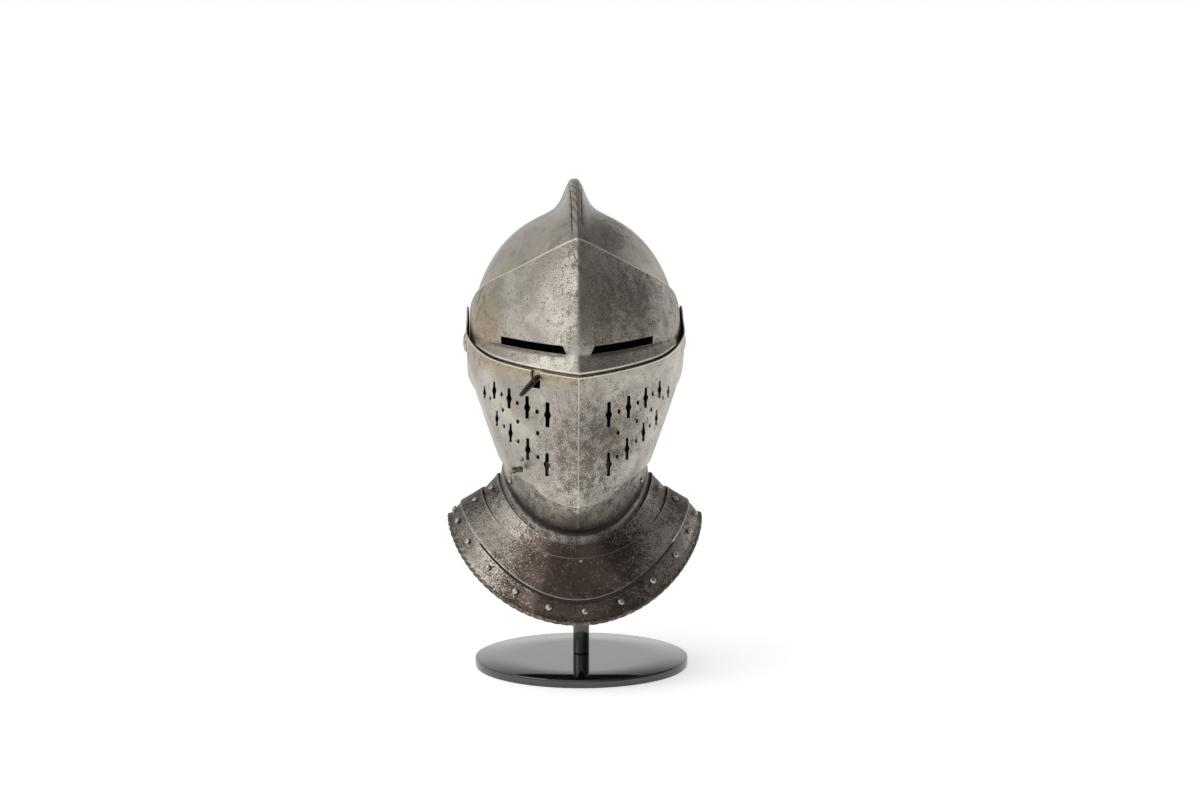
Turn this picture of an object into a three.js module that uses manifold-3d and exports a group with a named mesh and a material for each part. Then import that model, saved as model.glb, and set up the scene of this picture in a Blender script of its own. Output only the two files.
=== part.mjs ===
// A close helmet of plate steel on a plain round stand. Millimetres, +Z up, the face looks along -Y.
// The plates are drawn about the pivot axis: f is forward of it (-Y), z is above it.
import * as THREE from "three";
import { mergeVertices } from "three/addons/utils/BufferGeometryUtils.js";
import Module from "manifold-3d";

const wasm = await Module();
wasm.setup();

// Stand
const BASE_RADIUS = 97.5;
const BASE_HEIGHT = 8;
const POST_RADIUS = 7.5;
const POST_BACK = 10;
const PAD_RADIUS = 18;
const PAD_DOME = 113;

// Helmet place and plate
const HELMET_X = -6;
const PIVOT_Z = 297;
const PLATE = 1.5;

// Skull: half width, bowl radius, comb height and its half width, all about the pivot axis
const SKULL_WIDE = 93.4;
const SKULL_ROUND = 118;
const SKULL_POWER = 2.1;
const COMB_HEIGHT = 29;
const COMB_WIDE = 10.6;
const COMB_POWER = 3.2;
const CREST = SKULL_ROUND + COMB_HEIGHT;
const BROW_ANGLE = 28;
const TEMPLE_ANGLE = 45;

// Keeled sections follow (x / wide)^KEEL_A + (f / keel)^KEEL_B = 1
const KEEL_A = 1.15;
const KEEL_B = 2.2;

// Visor
const VISOR_WIDE = 96.8;
const VISOR_KEEL = 150.6;
const VISOR_FLAT = 93.5;
const VISOR_REAR = -24;
const LEDGE = 5.5;
const SIGHT_FROM = 0.03;
const SIGHT_TO = 0.333;

// Upper bevor
const UPPER_FLAT = 96.6;
const UPPER_KEEL = 152.3;
const UPPER_REAR = -27;
const UPPER_WIDEST = 20;
const KEEL_TOP_Z = -16;
const KEEL_SLOPE = 0.3025;
const LIP_INSET = 3;

// Bevor
const BEVOR_REAR = -16;
const BEVOR_INSET = 2.4;
const UPPER_SWING = 35;

// Pivot bolts
const BOLT_RADIUS = 4;
const BOLT_HOLE = 4.7;

// Visor stations from the arm's rear end to the keel: heights of the plate's rows
const VISOR_ROWS = [
  { share: 0, low: -6, rim: -2, sightLow: 0, sightHigh: 2, top: 6 },
  { share: 0.05, low: -17, rim: -7, sightLow: -2, sightHigh: 4, top: 17 },
  { share: 0.138, low: -20, rim: -9, sightLow: 0, sightHigh: 8, top: 31 },
  { share: 0.282, low: -15, rim: -2, sightLow: 5.5, sightHigh: 12, top: 46 },
  { share: 0.484, low: -7.5, rim: 3.5, sightLow: 8, sightHigh: 14, top: 59.5 },
  { share: 0.668, low: -14.5, rim: -3, sightLow: 7, sightHigh: 14.2, top: 71 },
  { share: 0.82, low: -18.5, rim: -7.5, sightLow: 5, sightHigh: 12.5, top: 84 },
  { share: 0.945, low: -22, rim: -11, sightLow: 3.2, sightHigh: 10.7, top: 95.5 },
  { share: 1, low: -24, rim: -12.5, sightLow: 2.6, sightHigh: 10.1, top: 100.3 },
];

// Upper bevor stations from the arm's rear end to the keel: its upper and lower edges
const UPPER_ROWS = [
  { share: 0, top: 6, low: -6 },
  { share: 0.02, top: 17, low: -24 },
  { share: 0.05, top: 25, low: -42 },
  { share: 0.094, top: 30, low: -60 },
  { share: 0.151, top: 32, low: -76 },
  { share: 0.217, top: 29, low: -88 },
  { share: 0.292, top: 20, low: -94.5 },
  { share: 0.364, top: 12, low: -99 },
  { share: 0.45, top: 6, low: -102.5 },
  { share: 0.551, top: 0, low: -106 },
  { share: 0.66, top: -5.5, low: -110.5 },
  { share: 0.765, top: -9, low: -117 },
  { share: 0.88, top: -12.5, low: -128 },
  { share: 0.94, top: -14.3, low: -131 },
  { share: 0.98, top: -15.5, low: -132.3 },
  { share: 1, top: -16, low: -132.5 },
];

// Bevor stations from its rear edge to the keel: its upper edge and the fold under the chin
const BEVOR_ROWS = [
  { share: 0, top: 10, chin: -101 },
  { share: 0.05, top: 17, chin: -101 },
  { share: 0.12, top: 21, chin: -101 },
  { share: 0.17, top: 14, chin: -101 },
  { share: 0.22, top: -8, chin: -101.5 },
  { share: 0.3, top: -40, chin: -102.5 },
  { share: 0.4, top: -58, chin: -105.5 },
  { share: 0.5, top: -70, chin: -109.5 },
  { share: 0.75, top: -88, chin: -123 },
  { share: 1, top: -100, chin: -139.5 },
];

// Collar rings from the neck outwards: half width, reach to front and back, heights and the drop's power
const COLLAR_ROWS = [
  { ring: 0, side: 65.5, front: 88, back: 78, zSide: -111, zFront: -160, zBack: -128, power: 1.35 },
  { ring: 1, side: 70.5, front: 94, back: 85, zSide: -120, zFront: -169, zBack: -137, power: 1.35 },
  { ring: 2, side: 85, front: 102, back: 97, zSide: -133, zFront: -179.5, zBack: -151, power: 1.35 },
  { ring: 3, side: 104, front: 121, back: 115, zSide: -146, zFront: -213.5, zBack: -183, power: 1.8 },
  { ring: 4, side: 114, front: 129, back: 124, zSide: -158, zFront: -231.5, zBack: -199, power: 1.35 },
];

// Breaths on one side: distance from the keel and height of each centre, and the slots' lengths
const SLOTS = [
  { x: 26.6, z: -50.6, long: 23 },
  { x: 44, z: -45.6, long: 21 },
  { x: 59.5, z: -39.2, long: 19 },
  { x: 72.4, z: -33.8, long: 16.5 },
  { x: 81, z: -37.8, long: 12 },
  { x: 27, z: -96, long: 22 },
  { x: 43.5, z: -84, long: 21 },
  { x: 58.4, z: -71.2, long: 18 },
  { x: 70.3, z: -60, long: 15.5 },
];
const HOLES = [
  { x: 35.5, z: -48.6 },
  { x: 52.4, z: -42.6 },
  { x: 66, z: -36.6 },
  { x: 76, z: -42 },
  { x: 35, z: -68 },
  { x: 52, z: -59.5 },
  { x: 65, z: -50.8 },
  { x: 34.7, z: -90 },
  { x: 51.7, z: -78 },
  { x: 64, z: -66 },
];
const SLOT_WIDE = 5;
const SLOT_LOBE = 8;
const HOLE_RADIUS = 2.4;

// Rivets round the collar's border, as turns from the front
const BORDER_TURNS = [-88, -76, -62, -46, -30, -13.5, 3, 20, 37, 53, 68, 82];
const REAR_TURNS = [108, 132, 156, 180, 204, 228, 252];

// Visor peg, and the peg and stud by the upper bevor's lower edge
const PEG_X = -35;
const PEG_Z = -17;
const PEG_WAY = new THREE.Vector3(-0.57, -0.62, -0.54);
const CATCH_X = -45.5;
const CATCH_Z = -102.5;
const STUD_X = -48.5;
const STUD_Z = -94;

// Materials
const metal = (color, roughness, metalness) => new THREE.MeshStandardMaterial({ color, roughness, metalness });
const STEEL = metal(0xa9a196, 0.38, 0.95);
const RUSSET = metal(0x6f6259, 0.42, 0.9);
const BRIGHT = metal(0xb9b3aa, 0.3, 0.95);
const IRON = metal(0x3d352e, 0.5, 0.8);
const BLACK = metal(0x121212, 0.3, 0.4);

const rad = THREE.MathUtils.degToRad;
const lerp = THREE.MathUtils.lerp;
const clamp = THREE.MathUtils.clamp;
const ease = (a, b, t) => THREE.MathUtils.smoothstep(t, a, b);
const steps = (n) => Array.from({ length: n + 1 }, (_, i) => i / n);
const mirrored = (list) => [...list.slice(1).reverse().map((v) => -v), ...list];

// Smooth value of one column of a table, without overshoot between its rows
function along(rows, by, column, at) {
  let i = 0;
  while (i < rows.length - 2 && at > rows[i + 1][by]) i++;
  const slope = (j) => (rows[j + 1][column] - rows[j][column]) / (rows[j + 1][by] - rows[j][by]);
  const tangent = (j) => {
    if (j === 0) return slope(0);
    if (j === rows.length - 1) return slope(j - 1);
    const a = slope(j - 1);
    const b = slope(j);
    return a * b <= 0 ? 0 : (2 * a * b) / (a + b);
  };
  const h = rows[i + 1][by] - rows[i][by];
  const t = clamp((at - rows[i][by]) / h, 0, 1);
  const u = 1 - t;
  return (
    rows[i][column] * u * u * (1 + 2 * t) +
    rows[i + 1][column] * t * t * (3 - 2 * t) +
    h * u * t * (tangent(i) * u - tangent(i + 1) * t)
  );
}

// A closed plate: outer is a grid of points, the inner face is set in by the thickness along the normals
function plate(outer, inside, thickness = PLATE, keep = () => true) {
  const rows = outer.length;
  const cols = outer[0].length;
  const at = (j, i) => outer[clamp(j, 0, rows - 1)][clamp(i, 0, cols - 1)];
  const normals = outer.map((row, j) =>
    row.map((_, i) => {
      const du = new THREE.Vector3().subVectors(at(j, i + 1), at(j, i - 1)).normalize();
      const dv = new THREE.Vector3().subVectors(at(j + 1, i), at(j - 1, i)).normalize();
      return du.cross(dv).normalize();
    }),
  );
  let sign = 0;
  outer.forEach((row, j) =>
    row.forEach((p, i) => {
      sign += Math.sign(normals[j][i].dot(new THREE.Vector3().subVectors(p, inside)));
    }),
  );
  const out = sign > 0;
  const positions = [];
  outer.forEach((row) => row.forEach((p) => positions.push(p.x, p.y, p.z)));
  outer.forEach((row, j) =>
    row.forEach((p, i) => {
      const q = p.clone().addScaledVector(normals[j][i], out ? -thickness : thickness);
      positions.push(q.x, q.y, q.z);
    }),
  );
  const o = (j, i) => j * cols + i;
  const n = (j, i) => rows * cols + j * cols + i;
  const index = [];
  const quad = (a, b, c, d) => (out ? index.push(a, b, c, a, c, d) : index.push(a, c, b, a, d, c));
  const solid = (j, i) => j >= 0 && i >= 0 && j < rows - 1 && i < cols - 1 && keep(j, i);
  for (let j = 0; j < rows - 1; j++) {
    for (let i = 0; i < cols - 1; i++) {
      if (!solid(j, i)) continue;
      quad(o(j, i), o(j, i + 1), o(j + 1, i + 1), o(j + 1, i));
      quad(n(j, i), n(j + 1, i), n(j + 1, i + 1), n(j, i + 1));
      if (!solid(j - 1, i)) quad(o(j, i), n(j, i), n(j, i + 1), o(j, i + 1));
      if (!solid(j + 1, i)) quad(o(j + 1, i + 1), n(j + 1, i + 1), n(j + 1, i), o(j + 1, i));
      if (!solid(j, i - 1)) quad(o(j + 1, i), n(j + 1, i), n(j, i), o(j, i));
      if (!solid(j, i + 1)) quad(o(j, i + 1), n(j, i + 1), n(j + 1, i + 1), o(j + 1, i + 1));
    }
  }
  const geometry = new THREE.BufferGeometry();
  geometry.setAttribute("position", new THREE.Float32BufferAttribute(positions, 3));
  geometry.setIndex(index);
  return geometry;
}

// A closed geometry as a solid, and back
function toSolid(source) {
  const bare = source.clone();
  bare.deleteAttribute("normal");
  bare.deleteAttribute("uv");
  const merged = mergeVertices(bare, 1e-4);
  const ids = merged.index.array;
  const triVerts = [];
  for (let t = 0; t < ids.length; t += 3) {
    const [a, b, c] = [ids[t], ids[t + 1], ids[t + 2]];
    if (a !== b && b !== c && c !== a) triVerts.push(a, b, c);
  }
  const vertProperties = new Float32Array(merged.attributes.position.array);
  return new wasm.Manifold(new wasm.Mesh({ numProp: 3, vertProperties, triVerts: new Uint32Array(triVerts) }));
}
function toGeometry(solid) {
  const mesh = solid.getMesh();
  const geometry = new THREE.BufferGeometry();
  geometry.setAttribute("position", new THREE.Float32BufferAttribute(mesh.vertProperties, 3));
  geometry.setIndex(new THREE.Uint32BufferAttribute(mesh.triVerts, 1));
  geometry.computeVertexNormals();
  return geometry;
}

// A point from the distance across, forward of the pivots and above them
const point = (x, f, z) => new THREE.Vector3(x, -f, z);

// Upper bevor's outer form: keel and half width at a height, and the half width at a side-view point
const upperKeel = (z) => UPPER_KEEL - KEEL_SLOPE * Math.max(0, KEEL_TOP_Z - z);
const upperWide = (z) =>
  z > 0 ? 97.7 + 1.9 * ease(0, 20, z) : 97.7 - 0.375 * (Math.hypot(z, 28) - 28);
function upperHalf(f, z, inset = 0) {
  const wide = upperWide(z) - inset;
  const keel = upperKeel(z) - inset;
  const reach = clamp((f - UPPER_WIDEST) / (keel - UPPER_WIDEST), 0, 1);
  const back = Math.max(0, UPPER_WIDEST - f) / 50;
  const x = wide * (1 - reach ** KEEL_B) ** (1 / KEEL_A) * (1 - 0.03 * back * back);
  return lerp(UPPER_FLAT - inset, x, ease(25, 48, Math.hypot(f, z)));
}

// Visor's outer form above the ledge: a keeled section turned about the pivots
const visorKeel = (z) => Math.sqrt(VISOR_KEEL ** 2 - Math.max(0, z) ** 2);
function visorHalf(f, z) {
  const r = Math.hypot(f, Math.max(0, z));
  const q = clamp(r / VISOR_KEEL, 0, 1);
  const x = VISOR_WIDE * (1 - q ** KEEL_B) ** (1 / KEEL_A);
  return lerp(VISOR_FLAT, x, ease(18, 40, Math.hypot(f, z)));
}

// Skull's radius about the pivots at a distance x across and an angle up from the front
function skullRadius(x, angle) {
  const s = clamp(Math.abs(x) / SKULL_WIDE, 0, 1);
  const front = CREST * (1 - s ** KEEL_A) ** (1 / KEEL_B);
  const comb = (COMB_HEIGHT * (1 - ease(125, 195, angle))) / (1 + (Math.abs(x) / COMB_WIDE) ** COMB_POWER);
  const top = SKULL_ROUND * (1 - s ** SKULL_POWER) ** (1 / SKULL_POWER) + comb;
  return lerp(front, top, ease(44, 85, angle));
}
// The skull's sides are flattened under the pivots
const skullAcross = (x) => Math.sign(x) * (Math.abs(x) < 86 ? Math.abs(x) : 86 + (Math.abs(x) - 86) * 0.473);

// Collar surface: ring counted from the neck outwards, turn in degrees from the front
function collarPoint(ring, turn) {
  const value = (column) => along(COLLAR_ROWS, "ring", column, ring);
  const s = Math.sin(rad(turn));
  const c = Math.cos(rad(turn));
  const reach = c > 0 ? value("front") : value("back");
  const drop = (c > 0 ? value("zFront") : value("zBack")) - value("zSide");
  return point(value("side") * s, reach * c, value("zSide") + drop * Math.abs(c) ** value("power"));
}
function collar(ring, turn, inset = 0) {
  const p = collarPoint(ring, turn);
  const du = collarPoint(ring, turn + 1).sub(collarPoint(ring, turn - 1));
  const dv = collarPoint(Math.min(4, ring + 0.05), turn).sub(collarPoint(Math.max(0, ring - 0.05), turn));
  const normal = du.cross(dv).normalize();
  if (normal.z < 0) normal.negate();
  return { p: p.addScaledVector(normal, -inset), normal };
}

// Skull: rows run from the brow over the comb to the back, then down to the neck and out under the collar
function skullGrid() {
  const half = [0, 4, 8, 12.5, 18.5, 26, 36, 48, 60, 71, 80, 86, 90, 92.4, 93.35];
  const across = mirrored(half);
  const rows = [];
  for (const v of steps(13)) {
    rows.push(
      across.map((x) => {
        const start = lerp(TEMPLE_ANGLE, BROW_ANGLE, ease(35, 90, skullRadius(x, 60)));
        const angle = lerp(start, 180, v);
        const r = skullRadius(x, angle);
        return point(skullAcross(x), r * Math.cos(rad(angle)), r * Math.sin(rad(angle)));
      }),
    );
  }
  const back = (x) => 180 - THREE.MathUtils.radToDeg(Math.asin(x / SKULL_WIDE));
  for (const v of [0.18, 0.36, 0.54, 0.72, 0.88]) {
    rows.push(
      across.map((x) => {
        const neck = collar(0, back(x), BEVOR_INSET).p;
        const z = neck.z * v;
        const wide = upperWide(z) - 6.4 - 2.2 * (1 - ease(0, 70, -z));
        const deep = lerp(SKULL_ROUND, 76, v ** 1.6);
        const s = Math.abs(x) / SKULL_WIDE;
        const f = -deep * (1 - s ** SKULL_POWER) ** (1 / SKULL_POWER);
        return point((wide * x) / SKULL_WIDE, Math.min(f, -4), z);
      }),
    );
  }
  for (const ring of [0, 0.5, 1, 1.35]) {
    rows.push(across.map((x) => collar(ring, back(x), 2 * BEVOR_INSET).p));
  }
  return rows;
}

// Visor: rows run from the lip behind the upper bevor over the ledge and the sights to the upper edge
const VISOR_COLS = mirrored([0, 0.03, 0.075, 0.13, 0.2, 0.28, 0.333, 0.4, 0.5, 0.6, 0.7, 0.79, 0.87, 0.93, 0.97, 1]);
function visorGrid() {
  const bands = [
    { from: "low", to: "rim", share: 0, form: "lip" },
    { from: "low", to: "rim", share: 0.8, form: "lip" },
    { from: "rim", to: "sightLow", share: 0, form: "rim" },
    { from: "rim", to: "sightLow", share: 0.45, form: "ledge" },
    { from: "rim", to: "sightLow", share: 1, form: "sill" },
    { from: "sightHigh", to: "top", share: 0, form: "brow" },
    { from: "sightHigh", to: "top", share: 0.2, form: "brow" },
    { from: "sightHigh", to: "top", share: 0.4, form: "brow" },
    { from: "sightHigh", to: "top", share: 0.6, form: "brow" },
    { from: "sightHigh", to: "top", share: 0.8, form: "brow" },
    { from: "sightHigh", to: "top", share: 1, form: "brow" },
  ];
  const push = { lip: 0, rim: LEDGE, ledge: 2, sill: -1, brow: 0 };
  return bands.map((band) =>
    VISOR_COLS.map((t) => {
      const share = 1 - Math.abs(t);
      const value = (column) => along(VISOR_ROWS, "share", column, share);
      const z = lerp(value(band.from), value(band.to), band.share);
      const lip = band.form === "lip";
      const keel = lip ? upperKeel(z) - LIP_INSET : visorKeel(z);
      const f = VISOR_REAR + (keel - VISOR_REAR) * share;
      let x = lip ? upperHalf(f, z, LIP_INSET) : visorHalf(f, z);
      if (lip) x = Math.min(x, lerp(VISOR_FLAT, x, ease(20, 40, Math.hypot(f, z))));
      const grow = 1 + (push[band.form] * ease(0.3, 0.62, share)) / Math.hypot(x, f);
      return point(Math.sign(t) * x * grow, f * grow, z);
    }),
  );
}

// Upper bevor: straight keel, so its rows run straight between the two edges
const UPPER_COLS = mirrored([0, 0.06, 0.13, 0.21, 0.3, 0.39, 0.48, 0.57, 0.66, 0.74, 0.81, 0.87, 0.92, 0.96, 0.985, 1]);
function upperGrid() {
  return steps(7).map((v) =>
    UPPER_COLS.map((t) => {
      const share = 1 - Math.abs(t);
      const top = along(UPPER_ROWS, "share", "top", share);
      const low = along(UPPER_ROWS, "share", "low", share);
      const z = lerp(low, top, v);
      const f = UPPER_REAR + (upperKeel(z) - UPPER_REAR) * share;
      return point(Math.sign(t) * upperHalf(f, z), f, z);
    }),
  );
}

// Bevor: inside the upper bevor, folded in under the chin and flared out under the collar
const BEVOR_COLS = mirrored([0, 0.1, 0.22, 0.35, 0.48, 0.6, 0.7, 0.76, 0.81, 0.86, 0.91, 0.96, 1]);
const bevorInset = (f, z) => BEVOR_INSET + 2.7 * (1 - ease(30, 90, Math.hypot(f, z)));
// It also stays inside every part of the upper bevor that swings over it
function bevorHalf(f, z) {
  let x = upperHalf(f, z, bevorInset(f, z));
  const r = Math.hypot(f, z);
  for (const back of [7, 14, 21, 28, UPPER_SWING]) {
    const a = Math.atan2(z, f) - rad(back);
    const share = (r * Math.cos(a) - UPPER_REAR) / (upperKeel(r * Math.sin(a)) - UPPER_REAR);
    const low = along(UPPER_ROWS, "share", "low", clamp(share, 0, 1));
    const cover = share > 0 ? ease(-8, 2, r * Math.sin(a) - low) : 0;
    x = Math.min(x, lerp(x, upperHalf(r * Math.cos(a), r * Math.sin(a), BEVOR_INSET + 0.4), cover));
  }
  return x;
}
function bevorGrid() {
  const face = [0, 0.25, 0.5, 0.75, 1].map((v) =>
    BEVOR_COLS.map((t) => {
      const share = 1 - Math.abs(t);
      const top = along(BEVOR_ROWS, "share", "top", share);
      const chin = along(BEVOR_ROWS, "share", "chin", share);
      const z = lerp(top, chin, v);
      const f = BEVOR_REAR + (upperKeel(z) - BEVOR_INSET - BEVOR_REAR) * share;
      return point(Math.sign(t) * bevorHalf(f, z), f, z);
    }),
  );
  const chin = face[face.length - 1];
  const turn = (p) => {
    const f = -p.y;
    const reach = f > 0 ? f / (upperKeel(p.z) - BEVOR_INSET) : f / 78;
    return Math.sign(p.x) * THREE.MathUtils.radToDeg(Math.acos(clamp(reach, -1, 1)));
  };
  const flare = [0, 0.5, 1, 1.3].map((ring) =>
    chin.map((p) => collar(ring, turn(p), BEVOR_INSET * ease(0, 0.9, ring)).p),
  );
  return [...face, ...flare];
}

// A collar plate between two rings and two turns, lying inside its neighbour at the lower edge
function collarGrid(rings, from, to, count, inset) {
  return rings.map(({ ring, set }) => steps(count).map((u) => collar(ring, lerp(from, to, u), inset + set).p));
}

const LAME_RINGS = [
  { ring: 1, set: 0 },
  { ring: 1.5, set: 1 },
  { ring: 1.95, set: 2.4 },
  { ring: 2.3, set: 2.4 },
];
const COLLAR_RINGS = [
  { ring: 2, set: 0 },
  { ring: 2.35, set: 0 },
  { ring: 2.7, set: 0 },
  { ring: 2.97, set: -0.6 },
  { ring: 3.06, set: 0.8 },
  { ring: 3.75, set: 0.4 },
  { ring: 4, set: -1.4 },
];

// A slot with a small cross at its middle, and a round breath, both drawn upright
function slotShape(long) {
  const w = SLOT_WIDE / 2;
  const h = long / 2;
  const b = SLOT_LOBE / 2;
  const side = [
    [0, h],
    [w, h - w],
    [w, b * 0.7],
    [b, 0],
  ];
  const right = [...side, ...side.slice(0, 3).reverse().map(([x, y]) => [x, -y])];
  const left = right.slice(1, -1).reverse().map(([x, y]) => [-x, y]);
  return new THREE.Shape([...right, ...left].map(([x, y]) => new THREE.Vector2(x, y)));
}
function breathShape() {
  return new THREE.Shape(steps(6).slice(0, 6).map((u) => {
    const a = u * 2 * Math.PI;
    return new THREE.Vector2(HOLE_RADIUS * Math.cos(a), HOLE_RADIUS * Math.sin(a));
  }));
}

// Side-view place of a point of the upper bevor's face, found from its distance across
function upperForward(x, z) {
  let near = UPPER_WIDEST;
  let far = upperKeel(z);
  for (let i = 0; i < 40; i++) {
    const middle = (near + far) / 2;
    if (upperHalf(middle, z) > x) near = middle;
    else far = middle;
  }
  return near;
}
function upperPlace(x, z) {
  const away = Math.abs(x);
  const f = upperForward(away, z);
  const a = point(away + 0.5, upperForward(away + 0.5, z), z);
  const b = point(away - 0.5, upperForward(away - 0.5, z), z);
  const flat = new THREE.Vector3().subVectors(a, b).normalize();
  const side = Math.sign(x);
  const normal = new THREE.Vector3(-flat.y * side, flat.x, 0);
  if (normal.y > 0) normal.negate();
  return { p: point(x, f, z), normal };
}
function drill(shape, x, z) {
  const { p, normal } = upperPlace(x, z);
  const tool = new THREE.ExtrudeGeometry(shape, { depth: 12, bevelEnabled: false, curveSegments: 4 });
  tool.translate(0, 0, -6);
  const basis = new THREE.Matrix4().makeBasis(
    new THREE.Vector3(-normal.y, normal.x, 0),
    new THREE.Vector3(0, 0, 1),
    normal,
  );
  tool.applyMatrix4(basis.setPosition(p));
  return toSolid(tool);
}

// A round rod along a direction, given by radii at distances along it
function turned(profile, place, direction, sides = 12) {
  const geometry = new THREE.LatheGeometry(profile.map(([r, h]) => new THREE.Vector2(r, h)), sides);
  const turn = new THREE.Quaternion().setFromUnitVectors(new THREE.Vector3(0, 1, 0), direction.clone().normalize());
  geometry.applyQuaternion(turn);
  geometry.translate(place.x, place.y, place.z);
  return geometry;
}
const boltHole = () => {
  const tool = new THREE.CylinderGeometry(BOLT_HOLE, BOLT_HOLE, 240, 16);
  tool.rotateZ(Math.PI / 2);
  return toSolid(tool);
};

const INSIDE = point(0, 20, -20);
const helmet = new THREE.Group();
helmet.position.set(HELMET_X, 0, PIVOT_Z);
const assembly = new THREE.Group();
assembly.add(helmet);
function add(parent, name, geometry, material) {
  const closed = toGeometry(toSolid(geometry));
  const mesh = new THREE.Mesh(closed, material);
  mesh.name = name;
  parent.add(mesh);
}

// Stand
const base = new THREE.CylinderGeometry(BASE_RADIUS, BASE_RADIUS, BASE_HEIGHT, 48);
base.rotateX(Math.PI / 2);
base.translate(0, 0, BASE_HEIGHT / 2);
add(assembly, "stand_base", base, BLACK);
const padTop = (r) => PIVOT_Z + Math.sqrt(PAD_DOME ** 2 - r * r);
const postProfile = [
  [0, BASE_HEIGHT + 0.3],
  [POST_RADIUS, BASE_HEIGHT + 0.3],
  [POST_RADIUS, padTop(PAD_RADIUS) - 12],
  [PAD_RADIUS, padTop(PAD_RADIUS) - 3],
  [PAD_RADIUS, padTop(PAD_RADIUS)],
  [PAD_RADIUS / 2, padTop(PAD_RADIUS / 2)],
  [0, padTop(0)],
];
const upright = new THREE.Vector3(0, 0, 1);
add(assembly, "stand_post", turned(postProfile, new THREE.Vector3(0, POST_BACK, 0), upright, 20), BLACK);

// Skull
add(helmet, "skull", plate(skullGrid(), INSIDE), STEEL);

// Visor with its sights left open
const visorColumn = (i) => (VISOR_COLS[i] + VISOR_COLS[i + 1]) / 2;
const inSight = (t) => t > SIGHT_FROM && t < SIGHT_TO;
const sights = (j, i) => !(j === 4 && inSight(Math.abs(visorColumn(i))));
const visor = toSolid(plate(visorGrid(), INSIDE, PLATE, sights)).subtract(boltHole());
add(helmet, "visor", toGeometry(visor), STEEL);

// Upper bevor, pierced and notched
let upper = toSolid(plate(upperGrid(), INSIDE)).subtract(boltHole());
const cuts = [];
for (const side of [-1, 1]) {
  for (const { x, z, long } of SLOTS) cuts.push(drill(slotShape(long), side * x, z));
  for (const { x, z } of HOLES) cuts.push(drill(breathShape(), side * x, z));
}
upper = upper.subtract(wasm.Manifold.union(cuts));
const notch = new THREE.ExtrudeGeometry(
  new THREE.Shape([
    new THREE.Vector2(-5, 24),
    new THREE.Vector2(-5, -12),
    new THREE.Vector2(-3.5, -14),
    new THREE.Vector2(3.5, -14),
    new THREE.Vector2(5, -12),
    new THREE.Vector2(5, 24),
  ]),
  { depth: 14, bevelEnabled: false },
);
const NOTCH_X = -36.5;
const NOTCH_Z = -14;
const notchPlace = upperPlace(NOTCH_X, NOTCH_Z);
notch.translate(0, 0, -7);
notch.applyMatrix4(
  new THREE.Matrix4()
    .makeBasis(
      new THREE.Vector3(-notchPlace.normal.y, notchPlace.normal.x, 0),
      new THREE.Vector3(0, 0, 1),
      notchPlace.normal,
    )
    .setPosition(notchPlace.p),
);
upper = upper.subtract(toSolid(notch));
add(helmet, "upper_bevor", toGeometry(upper), STEEL);

// Bevor and the collar
const bevor = toSolid(plate(bevorGrid(), INSIDE)).subtract(boltHole());
add(helmet, "bevor", toGeometry(bevor), STEEL);
const NECK = point(0, 0, -60);
add(helmet, "gorget_front_lame", plate(collarGrid(LAME_RINGS, -97, 97, 26, 0), NECK), RUSSET);
add(helmet, "gorget_front_plate", plate(collarGrid(COLLAR_RINGS, -96, 96, 28, 0), NECK), RUSSET);
add(helmet, "gorget_rear_lame", plate(collarGrid(LAME_RINGS, 98.5, 261.5, 22, 0), NECK), RUSSET);
add(helmet, "gorget_rear_plate", plate(collarGrid(COLLAR_RINGS, 97.5, 262.5, 24, 0), NECK), RUSSET);

// A domed rivet head standing on a plate
function rivet(name, { p, normal }, radius, material = BRIGHT) {
  const dome = [
    [0, 0.3],
    [radius, 0.3],
    [radius * 0.8, radius * 0.45],
    [radius * 0.4, radius * 0.66],
    [0, radius * 0.72],
  ];
  add(helmet, name, turned(dome, p, normal, 8), material);
}
BORDER_TURNS.forEach((turn, i) => rivet(`rivet_front_border_${i + 1}`, collar(3.45, turn, -0.3), 3));
REAR_TURNS.forEach((turn, i) => rivet(`rivet_rear_border_${i + 1}`, collar(3.45, turn, -0.3), 3));
for (const [side, name] of [[-1, "right"], [1, "left"]]) {
  rivet(`rivet_front_lame_${name}`, collar(1.5, side * 80, -0.2), 2.8);
  rivet(`rivet_front_plate_${name}`, collar(2.35, side * 80, -0.2), 2.8);
}
rivet("pin_front", collar(2.12, 2, -0.1), 1.4);

// Neck rivets on the bevor, below the upper bevor's edge
const bevorRows = bevorGrid();
for (const [side, name] of [[-1, "right"], [1, "left"]]) {
  const i = BEVOR_COLS.indexOf(side * 0.48);
  const chin = bevorRows[4][i];
  const neck = bevorRows[5][i];
  const along1 = new THREE.Vector3().subVectors(bevorRows[4][i + side], bevorRows[4][i - side]);
  const down = new THREE.Vector3().subVectors(neck, chin);
  const normal = along1.cross(down).normalize();
  if (normal.y > 0) normal.negate();
  rivet(`rivet_neck_${name}`, { p: chin.clone().lerp(neck, 0.55).addScaledVector(normal, 0.4), normal }, 2.8);
}

// Pivot bolts: domed head outside, shank through the four plates, nut inside
for (const [side, name] of [[-1, "right"], [1, "left"]]) {
  const bolt = [
    [0, 83],
    [8, 83],
    [8, 86.6],
    [BOLT_RADIUS, 86.6],
    [BOLT_RADIUS, UPPER_FLAT + 0.5],
    [9, UPPER_FLAT + 0.5],
    [8, UPPER_FLAT + 2.4],
    [4.5, UPPER_FLAT + 3.8],
    [0, UPPER_FLAT + 4.2],
  ];
  add(helmet, `pivot_bolt_${name}`, turned(bolt, point(0, 0, 0), new THREE.Vector3(side, 0, 0), 16), BRIGHT);
}

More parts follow.
